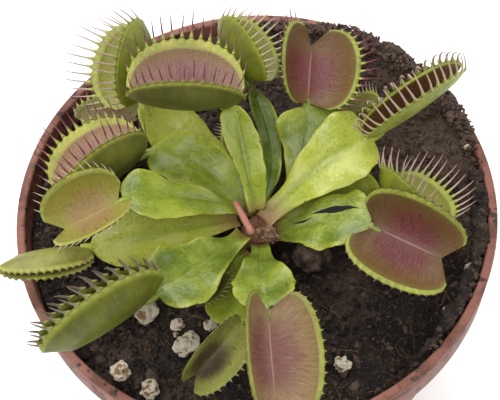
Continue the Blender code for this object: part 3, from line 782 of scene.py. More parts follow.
def flower_stub_finish():
    """The dry cut end: brown, with pale torn fibres and dark pits."""
    finish = Finish("flower_stub", specular=0.35)
    coarse = finish.noise(650.0, 3.0)
    fine = finish.noise(2000.0, 3.0)
    colour = finish.layers(
        (0.060, 0.030, 0.018),
        (finish.step(coarse, 0.38, 0.62), (0.24, 0.12, 0.055)),
        (finish.step(fine, 0.55, 0.70), (0.46, 0.34, 0.22)))
    return finish.done(colour, 0.7, coarse + fine, distance=0.0004)


# ================================================================ pot


def arc(centre, height, radius, first, last):
    """Five points of a round corner as (radius, height), between two angles in degrees."""
    turn = np.radians(np.linspace(first, last, 5))
    return list(zip(centre + radius * np.cos(turn), height + radius * np.sin(turn)))


def pot_profile(pot):
    """The pot's section as (radius, height), from its inner floor up, over and down outside."""
    corner = 0.0012        # rounding of the base and of the floor
    edge = 0.0005          # rounding of the lip and of the collar
    step = 0.0011          # how far the collar stands out from the wall
    shoulder = 0.0015      # half the height over which the inside widens to the collar
    spacing = 0.004        # longest distance between two points
    top = RIM_HEIGHT
    collar = top - pot.collar
    collar_radius = RIM_RADIUS - TAPER
    outer_wall = collar_radius - step
    inner_base = pot.base_radius - pot.wall
    inner_top = RIM_RADIUS - pot.lip
    points = [
        (0.0, pot.floor), (inner_base - corner, pot.floor), (inner_base, pot.floor + corner),
        (outer_wall - pot.wall, collar - shoulder), (inner_top - TAPER, collar + shoulder),
        *arc(inner_top + edge, top - edge, edge, 180, 90),
        *arc(RIM_RADIUS - edge, top - edge, edge, 90, 0),
        *arc(collar_radius - edge, collar + edge, edge, 0, -90),
        (outer_wall + 0.0002, collar), (outer_wall, collar - 0.0003),
        *arc(pot.base_radius - corner, corner, corner, 0, -90),
        (0.0, 0.0)]
    spaced = [points[0]]
    for low, high in zip(points, points[1:]):
        gap = np.hypot(high[0] - low[0], high[1] - low[1])
        if gap > 1e-6:
            parts = max(1, int(gap / spacing))
            spaced += [tuple(np.array(low) + (np.array(high) - low) * n / parts)
                       for n in range(1, parts + 1)]
    return spaced


def cut_drains(piece, pot, count=6, ring=0.021):
    """Cut the ring of drain holes through the pot's floor."""
    cutters = []
    for index in range(count):
        angle = 2 * pi * (index + 0.5) / count
        bpy.ops.mesh.primitive_cylinder_add(
            vertices=32, radius=pot.drain, depth=0.006,
            location=(ring * cos(angle), ring * sin(angle), 0.0))
        cutters.append(bpy.context.object)
        drain = piece.modifiers.new("drain", "BOOLEAN")
        drain.operation = "DIFFERENCE"
        drain.object = cutters[-1]
        drain.solver = "EXACT"
    shape = bpy.data.meshes.new_from_object(
        piece.evaluated_get(bpy.context.evaluated_depsgraph_get()))
    piece.modifiers.clear()
    old, piece.data = piece.data, shape
    bpy.data.meshes.remove(old)
    for cutter in cutters:
        bpy.data.objects.remove(cutter, do_unlink=True)
    shape.set_sharp_from_angle(angle=radians(50))


# ================================================================ soil


def soil_height(x, y):
    """Height of the packed soil: low waves, a bank at the back right and a dip at the crown."""
    waves = 0.00022 * np.sin(410 * x + 1.0) * np.cos(370 * y)
    waves = waves + 0.00016 * np.sin(760 * x - 520 * y + 0.6)
    away = np.arctan2(y, x) - BANK_TURN
    side = np.clip(np.cos(away * 1.15), 0.0, 1.0) * (np.abs(away) < radians(78))
    bank = 0.0052 * ramp(0.031, 0.043, np.hypot(x, y)) * side
    dip = -0.0006 * ramp(0.012, 0.004, np.hypot(x - CROWN_CENTRE[0], y - CROWN_CENTRE[1]))
    return RIM_HEIGHT - SOIL_DROP + waves + bank + dip


def soil_tone(x, y):
    """How much drier and browner the soil is: it rises towards the bank at the back right."""
    return 1.2 * ramp(0.004, 0.042, x * cos(BANK_TURN) + y * sin(BANK_TURN))


def crumbled_height(x, y):
    """The soil's height with its clods and crumbs: three sizes of clouds, the finest ridged."""
    flat = np.stack([x, y, 0 * x], -1)
    clods = 0.00045 * cloud(flat, 0.0065, 3, 2)
    lumps = 0.00060 * np.abs(cloud(flat, 0.0026, 5, 2))
    grains = 0.00045 * np.abs(cloud(flat, 0.0010, 7, 2))
    return soil_height(x, y) + clods + lumps + grains - 0.0005


def soil_surface(size=286):
    """The filled soil: a square grid drawn out to a disc for the top, and a plain underside.

    The grid's point (a, b) goes to a times the root of 1 - b*b/2, and b likewise, so the
    squares stay nearly even.
    """
    side = np.linspace(-1, 1, size)
    a, b = np.meshgrid(side, side, indexing="ij")
    x = SOIL_EDGE * a * np.sqrt(1 - b * b / 2)
    y = SOIL_EDGE * b * np.sqrt(1 - a * a / 2)
    top = np.stack([x, y, crumbled_height(x, y)], -1).reshape(-1, 3)
    number = np.arange(size * size).reshape(size, size)
    quads = np.stack([number[:-1, :-1], number[1:, :-1], number[1:, 1:], number[:-1, 1:]], -1)
    border = np.concatenate([number[:-1, 0], number[-1, :-1], number[:0:-1, -1],
                             number[0, :0:-1]])
    turn = np.arctan2(*top[border, 1::-1].T)
    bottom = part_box("soil")[0].z
    points, faces, upper, count = [top], [quads.reshape(-1, 4)], border, len(top)
    for radius, height in ((SOIL_EDGE, RIM_HEIGHT - 0.0078), (0.0418, RIM_HEIGHT - 0.0112),
                           (0.0293, bottom + 0.0012), (0.0281, bottom)):
        points.append(polar(radius, turn, height))
        lower = count + np.arange(len(turn))
        faces.append(np.stack([upper, lower, np.roll(lower, -1), np.roll(upper, -1)], -1))
        upper, count = lower, count + len(turn)
    points = np.concatenate([*points, [[0, 0, bottom]]])
    faces.append(np.stack([upper, np.full(len(turn), count), np.roll(upper, -1)], -1))
    return points, faces, 0.5 * cloud(points, 0.009, 11, 2) + soil_tone(*points[:, :2].T)


def heap_surface(first, last, middle, wide, tall, seed, rows=420, ring=52):
    """Soil heaped over the rim: an uneven roll that follows the rim and thins at its ends.

    Its section is an oval tipped outwards, and clouds of three sizes push its skin in and out.
    """
    share = np.linspace(0, 1, rows)[:, None]
    turn = radians(first) + radians(last - first) * share
    around = np.arange(ring)[None, :] * 2 * pi / ring
    body = np.sin(pi * share) ** 0.45
    body = body * (0.80 + 0.22 * np.sin(9 * share + 0.7) * np.sin(23 * share + seed))
    radius = middle + wide * body * np.cos(around) + 0.0004 * body * np.sin(around)
    points = polar(radius, turn, RIM_HEIGHT - 0.0002 + tall * body * np.sin(around))
    push = (0.0010 * np.abs(cloud(points, 0.0030, seed, 2))
            + 0.0006 * np.abs(cloud(points, 0.0011, seed + 1, 2))
            + 0.0006 * cloud(points, 0.007, seed + 2, 1) - 0.0006)
    outward = polar(np.cos(around), turn, np.sin(around))
    points = points + (push * np.minimum(1, 3 * body))[..., None] * outward
    points = points.reshape(-1, 3)
    points[:, 2] = np.maximum(points[:, 2], RIM_HEIGHT - 0.0035)
    tone = cloud(points, 0.004, seed + 3, 2)
    return points, [hoop_faces(rows, ring), flat_caps(rows, ring)], tone


def scatter_crumbs(count, low, high, seed, squash=0.75, rise=0.0):
    """Many loose crumbs on the soil: rough lumps, each with its own place, size and tone.

    low and high are the smallest and largest sizes in millimetres.  A crumb is raised by a
    share of its size.
    """
    rng = np.random.default_rng(seed)
    radius = CRUMB_REACH * np.sqrt(rng.uniform(0.01, 1.0, count))
    turn = rng.uniform(0, 2 * pi, count)
    size = MM * (low + (high - low) * rng.uniform(0, 1, count) ** 2.2)
    x, y = radius * np.cos(turn), radius * np.sin(turn)
    points, faces = ball(1)
    stretch = rng.uniform(0.40, 1.60, (count, 1, 3)) * np.array([1, 1, squash])
    spin = rng.uniform(0, 2 * pi, (count, 1))
    push = 1 + CRUMB_ROUGHNESS * rng.uniform(-1, 1, (count, len(points), 1))
    lump = points[None] * push * stretch
    turned_x = lump[..., 0] * np.cos(spin) - lump[..., 1] * np.sin(spin)
    turned_y = lump[..., 0] * np.sin(spin) + lump[..., 1] * np.cos(spin)
    lump = np.stack([turned_x, turned_y, lump[..., 2]], -1) * size[:, None, None]
    places = np.stack([x, y, crumbled_height(x, y) + rise * size], -1)
    tone = np.repeat(rng.normal(0, 0.6, count) + soil_tone(x, y), len(points))
    return *strew(lump, faces, places), tone


def heap_crumbs(count, seed):
    """Crumbs that lie along the rim where soil is heaped over it."""
    rng = np.random.default_rng(seed)
    turn = np.radians(np.where(rng.uniform(0, 1, count) < 0.85, rng.uniform(10, 84, count),
                               rng.uniform(-48, 10, count)))
    on_heap = ramp(radians(8), radians(20), turn) * ramp(radians(74), radians(60), turn)
    radius = 0.0422 + 0.0006 * on_heap + 0.0010 * (1 + on_heap) * rng.uniform(-1, 1, count)
    size = MM * (0.18 + 0.45 * rng.uniform(0, 1, count) ** 2)
    round_top = np.clip(1 - ((radius - HEAP_MIDDLE) / 0.0032) ** 2, 0, 1) ** 0.5
    height = RIM_HEIGHT + 0.0001 + on_heap * HEAP_HEIGHT * round_top
    points, faces = ball(1)
    push = 1 + CRUMB_ROUGHNESS * rng.uniform(-1, 1, (count, len(points), 1))
    lump = points[None] * push * rng.uniform(0.6, 1.3, (count, 1, 3)) * size[:, None, None]
    tone = np.repeat(rng.normal(1.3, 0.6, count), len(points))
    return *strew(lump, faces, polar(radius, turn, height)), tone


def scatter_fibres(count, short, long, girth, seed, steps=7, sides=4):
    """Thin bent root fibres that lie on the soil, with their lengths and girth in mm."""
    rng = np.random.default_rng(seed)
    radius = 0.0415 * np.sqrt(rng.uniform(0.03, 1.0, count))
    turn = rng.uniform(0, 2 * pi, count)
    stride = MM * rng.uniform(short, long, count)[:, None] / (steps - 1)
    heading = rng.uniform(0, 2 * pi, count)
    bend = rng.normal(0, 1.4, count)
    share = np.linspace(0, 1, steps)
    way = heading[:, None] + bend[:, None] * share + 0.3 * np.sin(7 * share + turn[:, None])
    x = (radius * np.cos(turn))[:, None] + np.cumsum(stride * np.cos(way), 1)
    y = (radius * np.sin(turn))[:, None] + np.cumsum(stride * np.sin(way), 1)
    keep = np.hypot(x, y).max(1) < CRUMB_REACH
    x, y = x[keep], y[keep]
    lift = 0.0003 + 0.0007 * np.sin(pi * share) * rng.uniform(0, 1, (len(x), 1))
    paths = np.stack([x, y, crumbled_height(x, y) + lift], -1)
    girth = MM * girth * rng.uniform(0.5, 1.3, (len(x), 1)) * (1 - 0.5 * share)
    guide = np.tile([0.0, 0.0, 1.0], (len(x), 1))
    points, faces, _ = strands(paths, girth, girth, guide, sides)
    tone = np.repeat(rng.uniform(0, 1, len(x)) ** 2, steps * sides + 2)
    return points, faces, tone


def rough_grain(x, y, size, seed, squash=0.7, level=5, rough=1.0):
    """A rough grain on the soil: a ball drawn in to lobes and pits by clouds, and flattened."""
    points, faces = ball(level)
    shape = cloud(points + seed, 1.1, seed, 2)
    pits = cloud(points, 0.42, seed + 1, 2)
    push = 1 + rough * (0.42 * shape + 0.26 * pits)
    points = points * push[:, None] * np.array([1.0, 1.0, squash]) * size * MM
    spread = np.linspace(-size * MM, size * MM, 5)
    ground = soil_height(x * MM + spread[:, None], y * MM + spread[None, :]).max()
    place = np.array([x * MM, y * MM, ground + 0.0003 - points[:, 2].min()])
    return points + place, [faces], -(shape + pits)


# ================================================================ leaves


def trap_frame(trap):
    """The trap's own directions: along the hinge, to its left, and out of its mouth."""
    yaw, pitch, lean = radians(trap.yaw), radians(trap.pitch), radians(trap.lean)
    along = np.array([cos(yaw) * cos(pitch), sin(yaw) * cos(pitch), sin(pitch)])
    level = np.array([-sin(yaw), cos(yaw), 0.0])
    above = np.cross(along, level)
    left = cos(lean) * level - sin(lean) * above
    mouth = cos(lean) * above + sin(lean) * level
    return np.stack([along, left, mouth])


def trap_origin(trap):
    """The start of the hinge in millimetres, counted from the pot's underside."""
    return np.array(trap.base) + np.array([0.0, 0.0, RIM_HEIGHT / MM])


def stalk_end(trap):
    """The end of the stalk's blade in millimetres, a short way behind the hinge."""
    return trap_origin(trap) - trap.gap * trap_frame(trap)[0]


def tooth_places(count):
    """Shares along the margin of evenly spaced teeth: half even in share, half even in x."""
    even = (np.arange(count) + 0.5) / count
    return 0.5 * even + 0.5 * np.arccos(1 - 2 * even) / pi


def tooth_beat(share, count):
    """A wave along the margin that is 1 at each tooth and 0 between teeth."""
    phase = np.interp(share, tooth_places(count), np.arange(count), left=-0.5,
                      right=count - 0.5)
    return 0.5 + 0.5 * np.cos(2 * pi * phase)


def lobe_surface(trap, share, out, lift, look=None):
    """Points of the lobes in millimetres; out is -1 at the right margin and 1 at the left.

    The margin is a half round whose ends reach behind and past the hinge.  A lobe is dished
    towards the mouth, and lift moves its skin off its middle surface.  With a look, the
    outermost part flares back and the margin is scalloped once for each tooth.
    """
    gape = radians(trap.gape)
    side = np.where(out < 0, -1.0, 1.0)
    far = np.abs(out)
    middle = 0.5 + (trap.front - trap.back) / 2
    half = 0.5 + (trap.front + trap.back) / 2
    margin_x = trap.hinge * (middle - half * np.cos(pi * share))
    corner = trap.heel + (trap.toe - trap.heel) * share
    swell = np.clip(np.sin(pi * share), 0.0, 1.0)
    margin_y = trap.depth * (corner + (1 - corner) * swell ** 0.8)
    scallop = flare = 0.0
    if look:
        beat = tooth_beat(share, look.teeth)
        scallop = 0.045 * look.knob * (beat ** 1.5 - 0.4) * ramp(0.88, 1.0, far)
        scallop = scallop * ramp(0.0, 0.06, swell)
        if trap.gape > OPEN_GAPE:
            flare = 0.055 * trap.depth * ramp(look.band, 1.0, far) * swell ** 0.5
    x = trap.hinge * share * (1 - far) + margin_x * far
    y = margin_y * (far + scallop)
    dish = 0.16 * trap.depth * 4 * far * (1 - far) * swell ** 0.5
    sag = 0.03 * trap.hinge * 4 * share * (1 - share)
    off = dish + flare - lift
    across = y * sin(gape) + off * cos(gape)
    across = np.maximum(across, 0.02 * np.minimum(1.0, far * 50))
    up = y * cos(gape) - off * sin(gape) - sag
    local = np.stack([x, side * across, up], -1)
    return trap_origin(trap) + local @ trap_frame(trap)


def trap_shell(trap, look, plant):
    """A whole trap in metres: both lobes and the hinge between an inner and an outer skin.

    The skins close up at the margins in a round edge.  A low ridge runs along the inner skin
    where the edge begins, and the hinge has a rib inside and a keel outside.
    """
    share = np.linspace(0, 1, 8 * look.teeth + 1)[:, None]
    spread = np.linspace(-1, 1, 45)
    out = np.sign(spread) * (0.55 * np.abs(spread) + 0.45 * np.sin(np.abs(spread) * pi / 2) ** 1.3)
    out = out[None, :] + 0 * share
    share = share + 0 * out
    far = np.abs(out)
    rounding = np.sqrt(np.clip(1 - ramp(0.93, 1.0, far) ** 2, 0, 1))
    ends = np.sqrt(np.clip(np.sin(pi * share), 0, 1) * 0.85 + 0.15)
    slim = plant.lobe_thickness / MM / 2 * rounding * (1 - 0.35 * far) * ends
    ridge = 0.13 * bell(far - look.band, 0.02) * np.sin(pi * share)
    knobs = 0.15 * look.knob * (tooth_beat(share, look.teeth) - 0.3)
    knobs = knobs * ramp(look.band + 0.01, 0.96, far) * ends * rounding
    inner = lobe_surface(trap, share, out, slim + ridge + knobs, look)
    outer = lobe_surface(trap, share, out, -slim, look)
    mouth = trap_frame(trap)[2]
    rib = 0.25 * bell(far, 0.05)
    keel = 0.60 * bell(far, 0.09) * ends
    inner = inner + rib[..., None] * mouth
    outer = outer - keel[..., None] * mouth
    wobble = 0.10 * cloud(inner, 3.2, 31, 2)[..., None] * mouth * ramp(0.1, 0.5, far)[..., None]
    inside = np.concatenate([np.ones_like(out), np.zeros_like(out)], 1)
    return *shell(inner + wobble, outer + wobble, share, out), inside


def trap_teeth(trap, look, plant, seed):
    """The teeth of one trap: tapered strands that spring from the margins and bend in.

    A tooth starts just inside the margin and leans out along the lobe.  It turns in over
    the mouth as it goes, and is flat and broad at its root.  Those in the middle are longest.
    """
    rng = np.random.default_rng(seed)
    share = np.tile(tooth_places(look.teeth), 2)
    side = np.repeat([1.0, -1.0], look.teeth)
    frame_rows = trap_frame(trap)
    steps = np.linspace(0, 1, 11)[None, :]
    turn = radians(trap.gape) - np.radians(look.curl * steps + rng.normal(0, 5, (len(share), 1)))
    lean = look.sweep - 0.45 * np.cos(pi * share)[:, None] * (1 - 0.35 * steps)
    lean = lean + rng.normal(0, 0.06, (len(share), 1))
    local = np.stack([lean + 0 * turn, side[:, None] * np.sin(turn), np.cos(turn)], -1)
    way = unit(local) @ frame_rows
    length = look.length * (0.55 + 0.45 * np.sin(pi * share)) * rng.uniform(0.85, 1.1, len(share))
    stride = length[:, None, None] / 10 * way
    root = lobe_surface(trap, share, side * 0.965, 0 * share, look)
    paths = root[:, None] + np.cumsum(stride, 1) - stride[:, :1]
    girth = plant.tooth_thickness / MM * look.thick * (0.7 + 0.3 * np.sin(pi * share))[:, None]
    taper = (1 - steps) ** 0.7 * 0.85 + 0.10
    across = girth * (taper + 1.1 * look.knob * bell(steps, 0.12))
    thick = girth * taper * 0.8
    guide = unit(np.cross(frame_rows[0], way[:, 0]))
    return strands(paths * MM, across * MM, thick * MM, guide)


def trap_hairs(trap):
    """Three trigger hairs on each lobe: fine bristles square to its inner skin."""
    share = np.array([0.36, 0.50, 0.64, 0.36, 0.50, 0.64])
    out = np.array([0.42, 0.58, 0.42, -0.42, -0.58, -0.42])
    root = lobe_surface(trap, share, out, 0.3 + 0 * share)
    above = lobe_surface(trap, share, out, 1.3 + 0 * share)
    steps = np.linspace(0, 1, 6)[None, :, None]
    paths = root[:, None] + (above - root)[:, None] * steps * 1.1
    girth = 0.06 * (1 - 0.75 * steps[..., 0]) + 0 * share[:, None]
    guide = np.tile(trap_frame(trap)[0], (len(share), 1))
    return strands(paths * MM, girth * MM, girth * MM, guide, sides=5)


def stalk_points(stalk, end, along, across, frill=0.0):
    """Points of the upper face of a leaf stalk's blade, in millimetres.

    The midline is a parabola from the crown to its end, arched upwards and bent sideways.
    The blade widens along a sine from a narrow root, its wings fold up from the midline, and
    its edges are waved.  frill adds small uneven steps to the outline.
    """
    turn = radians(stalk.turn)
    crown = np.array([*CROWN_CENTRE, RIM_HEIGHT]) / MM
    start = crown + np.array([stalk.reach * cos(turn), stalk.reach * sin(turn), stalk.height])
    run = end - start
    level = unit(np.array([-run[1], run[0], 0.0]))
    top = (start + end) / 2 + 2 * (np.array([0.0, 0.0, stalk.arch]) + stalk.bend * level)
    u = along[..., None]
    midline = (1 - u) ** 2 * start + 2 * u * (1 - u) * top + u ** 2 * end
    heading = unit(2 * (1 - u) * (top - start) + 2 * u * (end - top))
    left = unit(np.cross(np.array([0.0, 0.0, 1.0]), heading))
    above = np.cross(heading, left)
    roll = np.radians(stalk.roll) * u
    side = np.cos(roll) * left - np.sin(roll) * above
    up = np.cos(roll) * above + np.sin(roll) * left
    neck = stalk.neck * (1 - along) + 0.12 * along
    peak = stalk.peak * (1 + stalk.skew * np.sign(across))
    swell = np.clip(np.sin(pi * along ** peak), 0.0, 1.0) ** 0.75
    half_width = 0.5 * stalk.width * (neck + (1 - neck) * swell)
    steps = np.sin(19 * along + 3 * np.sign(across) + stalk.turn)
    steps = steps + 0.6 * np.sin(41 * along + stalk.turn * 2 + 5 * np.sign(across))
    half_width = half_width * (1 + frill * steps * np.abs(across) * swell)
    fold = radians(stalk.fold)
    wing = np.sqrt(across ** 2 + 0.01) - 0.1
    phase = np.where(across > 0, 0.8, 2.6)
    wave = stalk.wave * across ** 2 * np.sin(5 * pi * along + phase)
    aside = half_width * across * cos(fold)
    rise = half_width * wing * sin(fold) + wave
    ahead = stalk.ear * across ** 2 * swell * along ** 2
    return (midline + aside[..., None] * side + rise[..., None] * up
            + ahead[..., None] * heading)


def stalk_shell(stalk, trap, plant, rows=73, columns=33):
    """A leaf stalk in metres: a waved blade with a groove above its midrib and a keel below.

    Its thickness falls off in a bell from the midline, and its edges are round.
    """
    end = stalk_end(trap)
    along = np.linspace(0, 1, rows)[:, None] + np.zeros(columns)
    spread = np.linspace(-1, 1, columns)
    across = np.sign(spread) * np.sin(np.abs(spread) * pi / 2) ** 0.9
    across = across[None, :] + np.zeros((rows, 1))

    def face(first, second):
        return stalk_points(stalk, end, np.clip(first, 0, 1), second, frill=0.035)

    upper = face(along, across)
    ahead = face(along + 0.01, across) - face(along - 0.01, across)
    aside = face(along, across + 0.02) - face(along, across - 0.02)
    normal = unit(np.cross(ahead, aside))
    rounding = np.sqrt(np.clip(1 - np.abs(across) ** 7, 0, 1))
    thin = plant.blade_thickness / MM
    thickness = (thin + 0.60 * bell(across, 0.25)) * rounding
    groove = 0.22 * bell(across, 0.10) * np.sin(pi * along)
    dents = 0.22 * cloud(upper, 5.0, 41, 2) * ramp(0.0, 0.3, along)
    sink = 0.5 * thin * (1 - rounding) + groove + dents
    top = upper - sink[..., None] * normal
    return shell(top, top - thickness[..., None] * normal, along, across)


def neck_surface(stalk, trap):
    """The short neck that carries a trap: a tube from the stalk's midrib into the hinge."""
    end, origin, frame_rows = stalk_end(trap), trap_origin(trap), trap_frame(trap)
    back = stalk_points(stalk, end, np.array(0.93), np.array(0.0))
    near = stalk_points(stalk, end, np.array(0.985), np.array(0.0))
    inner = origin + np.array([0.10 * trap.hinge, 0.0, -0.35]) @ frame_rows
    knots = np.stack([back - [0, 0, 0.5], near - [0, 0, 0.45], origin - 0.25 * frame_rows[2],
                      inner])
    t = np.linspace(0, 1, 13)[:, None]
    path = ((1 - t) ** 3 * knots[0] + 3 * t * (1 - t) ** 2 * knots[1]
            + 3 * t * t * (1 - t) * knots[2] + t ** 3 * knots[3])
    girth = min(0.62, 0.06 * trap.hinge) * (0.85 + 0.3 * np.sin(pi * t[:, 0]))[None, :]
    points, faces, along = strands(path[None] * MM, girth * 1.25 * MM, girth * MM, UPWARDS,
                                   sides=16)
    uv = np.stack([0.9 + 0.1 * along, 0.8 + 0 * along], -1)
    return points, faces, uv


def crown_surface():
    """The crown: a turned stem whose skin is pushed out in ribs where old leaves stood."""
    profile = [(0.0, 1.2), (1.2, 1.1), (2.3, 0.6), (3.1, -0.5), (3.5, -2.0), (3.7, -3.8),
               (3.8, -5.5), (3.9, -8.5), (3.2, -11.2), (0.0, -11.4)]
    radius, height = np.array(profile).T
    share = np.linspace(0, 1, 40)
    knots = np.linspace(0, 1, len(profile))
    fine = list(zip(np.interp(share, knots, radius) * MM, np.interp(share, knots, height) * MM))
    points, faces = turned(fine, 64)
    turn = np.arctan2(points[:, 1], points[:, 0])
    push = 0.00022 * np.cos(7 * turn + 900 * points[:, 2]) + 0.00030 * cloud(points, 0.0016, 51, 3)
    spread = ramp(0.0, 0.0015, np.hypot(points[:, 0], points[:, 1]))
    points = points + polar(push * spread, turn, push * (1 - spread))
    return points + np.array([*CROWN_CENTRE, RIM_HEIGHT]), faces


def flower_stalk_surface(steps=33, sides=20):
    """The base of an old flower stalk: a tube over the crown, wider towards its cut end.

    Its path is straight between five points, and is then smoothed over seven steps at a time.
    """
    knots = np.array([(-3.6, -1.4, 4.9), (-3.2, -2.6, 5.3), (-2.5, -4.4, 5.2),
                      (-1.6, -6.5, 4.5), (-1.0, -7.7, 3.8)])
    t = np.linspace(0, len(knots) - 1, steps)
    path = np.stack([np.interp(t, np.arange(len(knots)), line) for line in knots.T], -1)
    padded = np.pad(path, ((3, 3), (0, 0)), mode="edge")
    weights = np.array([1, 2, 3, 4, 3, 2, 1]) / 16
    path = sum(weight * padded[n:n + steps] for n, weight in enumerate(weights))
    path = path + np.array([0, 0, RIM_HEIGHT / MM])
    share = np.linspace(0, 1, steps)
    girth = (0.58 + 0.10 * share + 0.02 * np.sin(15 * share))[None, :]
    points, faces, along = strands(path[None] * MM, girth * MM, girth * MM, UPWARDS, sides)
    around = np.append(np.tile(np.sin(np.arange(sides) * 2 * pi / sides), steps), [0, 0])
    return points, faces, along, around


def flower_stub_surface():
    """The torn end of the flower stalk: an oval ball with deep clouds pressed into it."""
    points, faces = ball(5)
    push = 1 + 0.24 * cloud(points, 0.8, 61, 3) + 0.16 * cloud(points, 0.28, 62, 2)
    points = points * push[:, None] * np.array([2.2, 1.5, 1.1])
    turn = Matrix.Rotation(radians(-20), 3, "Z")
    points = points @ np.array(turn).T + np.array([1.9, -8.0, RIM_HEIGHT / MM + 3.6])
    return points * MM, [faces]


# ================================================================ settings


def a_length(name, description, default, low, high):
    """A setting for a length in metres."""
    return FloatProperty(name=name, description=description, default=default, min=low,
                         max=high, precision=5, unit="LENGTH")


def a_colour(name, description, default):
    """A setting for a colour, in linear light."""
    return FloatVectorProperty(name=name, description=description, default=default, size=3,
                               min=0.0, max=1.0, subtype="COLOR")


def an_angle(name, description, default, low, high):
    """A setting for an angle, given here in degrees."""
    return FloatProperty(name=name, description=description, default=radians(default),
                         min=radians(low), max=radians(high), subtype="ANGLE")


def a_number(name, description, default, high):
    """A setting for how many there are of something."""
    return IntProperty(name=name, description=description, default=default, min=0, max=high)


def a_strength(name, description, default, high, unit="NONE"):
    """A setting for how strong a light is."""
    return FloatProperty(name=name, description=description, default=default, min=0.0,
                         max=high, unit=unit)


class FlytrapPlant(bpy.types.PropertyGroup):
    """Sizes and colours of the leaves."""

    blade_thickness: a_length("Stalk thickness", "Thickness of a leaf stalk's wings", 0.00062,
                              0.0002, 0.002)
    lobe_thickness: a_length("Lobe thickness", "Thickness of a trap's lobes", 0.00070, 0.0003,
                             0.002)
    tooth_thickness: a_length("Tooth thickness", "Half the width of a tooth at its root", 0.00024,
                              0.0001, 0.001)
    blade_light: a_colour("Light green", "Colour of the stalks where they are palest",
                          (0.305, 0.365, 0.034))
    blade_deep: a_colour("Deep green", "Colour of the stalks where they are darkest",
                         (0.100, 0.150, 0.010))
    blade_root: a_colour("Blush", "Colour of the stalks at their roots", (0.27, 0.115, 0.062))


class FlytrapPot(bpy.types.PropertyGroup):
    """Sizes and colour of the pot."""

    base_radius: a_length("Base radius", "Radius of the pot's base", 0.031, 0.02, 0.045)
    wall: a_length("Wall", "Thickness of the pot's wall", 0.0013, 0.0005, 0.004)
    floor: a_length("Floor", "Thickness of the pot's floor", 0.0016, 0.0005, 0.004)
    collar: a_length("Collar", "Height of the collar below the lip", 0.0095, 0.004, 0.02)
    lip: a_length("Lip", "Width of the lip", 0.0017, 0.001, 0.004)
    drain: a_length("Drain holes", "Radius of the drain holes", 0.0032, 0.001, 0.006)
    colour: a_colour("Colour", "Colour of the pot's plastic", (0.250, 0.098, 0.068))


class FlytrapSoil(bpy.types.PropertyGroup):
    """Colours of the soil and the number of its loose pieces."""

    dark: a_colour("Dark", "Colour of the wettest soil", (0.010, 0.0075, 0.006))
    warm: a_colour("Brown", "Colour of the drier crumbs", (0.090, 0.058, 0.042))
    crumbs: a_number("Crumbs", "Number of small crumbs", 7000, 9000)
    clods: a_number("Clods", "Number of larger lumps", 800, 1500)
    fibres: a_number("Fibres", "Number of long root fibres", 210, 600)


class FlytrapStage(bpy.types.PropertyGroup):
    """The floor, the lights and the camera."""

    floor_colour: a_colour("Floor", "Colour of the floor", (0.90, 0.90, 0.90))
    floor_glow: a_strength("Floor glow", "Light that the floor gives off, to keep it pale", 0.30,
                           1.0)
    front_power: a_strength("Front light", "Power of the high light at the front left", 4.5, 100.0,
                            "POWER")
    back_power: a_strength("Back light", "Power of the light at the back", 3.9, 100.0, "POWER")
    top_power: a_strength("Top light", "Power of the smaller light that gives the leaves sheen",
                          2.3, 100.0, "POWER")
    side_power: a_strength("Side lights", "Power of the light on each side", 3.2, 100.0, "POWER")
    sky: a_strength("Sky", "Strength of the even light from all round", 0.10, 5.0)
    lens: FloatProperty(name="Lens", description="Focal length in millimetres",
                        default=103.5, min=10.0, max=300.0)
    distance: a_length("Distance", "Distance from the camera to the plant", 0.27, 0.1, 3.0)
    elevation: an_angle("Elevation", "Height of the camera as an angle", 60.1, 0, 90)
    roll: an_angle("Roll", "Turn of the picture about its middle", -4.8, -180, 180)


# ================================================================ operators


class FLYTRAP_OT_pot(bpy.types.Operator):
    """Make the pot with its collar, lip and drain holes"""

    bl_idname = "flytrap.pot"
    bl_label = "Pot"

    def execute(self, context):
        pot = context.scene.flytrap_pot
        piece = make_piece("pot_body", *turned(pot_profile(pot), 192), pot_finish(pot))
        cut_drains(piece, pot)
        settle(piece, "pot_plastic", "pot")
        return {"FINISHED"}


class FLYTRAP_OT_soil(bpy.types.Operator):
    """Make the soil, with the bank of soil that spills over the rim"""

    bl_idname = "flytrap.soil"
    bl_label = "Soil"

    def execute(self, context):
        finish = soil_finish("soil", context.scene.flytrap_soil)
        points, faces, tone = soil_surface()
        settle(make_piece("soil_fill", points, faces, finish, tone=tone), "soil", "soil")
        points, faces, tone = heap_surface(13, 70, HEAP_MIDDLE, wide=0.0031,
                                           tall=HEAP_HEIGHT, seed=21)
        settle(make_piece("soil_heap", points, faces, finish, tone=1.6 + 0.6 * tone), "soil")
        points, faces, tone = heap_surface(-52, 8, 0.0418, wide=0.0015, tall=0.0005, seed=27)
        settle(make_piece("soil_drift", points, faces, finish, tone=0.5 * tone), "soil")
        return {"FINISHED"}


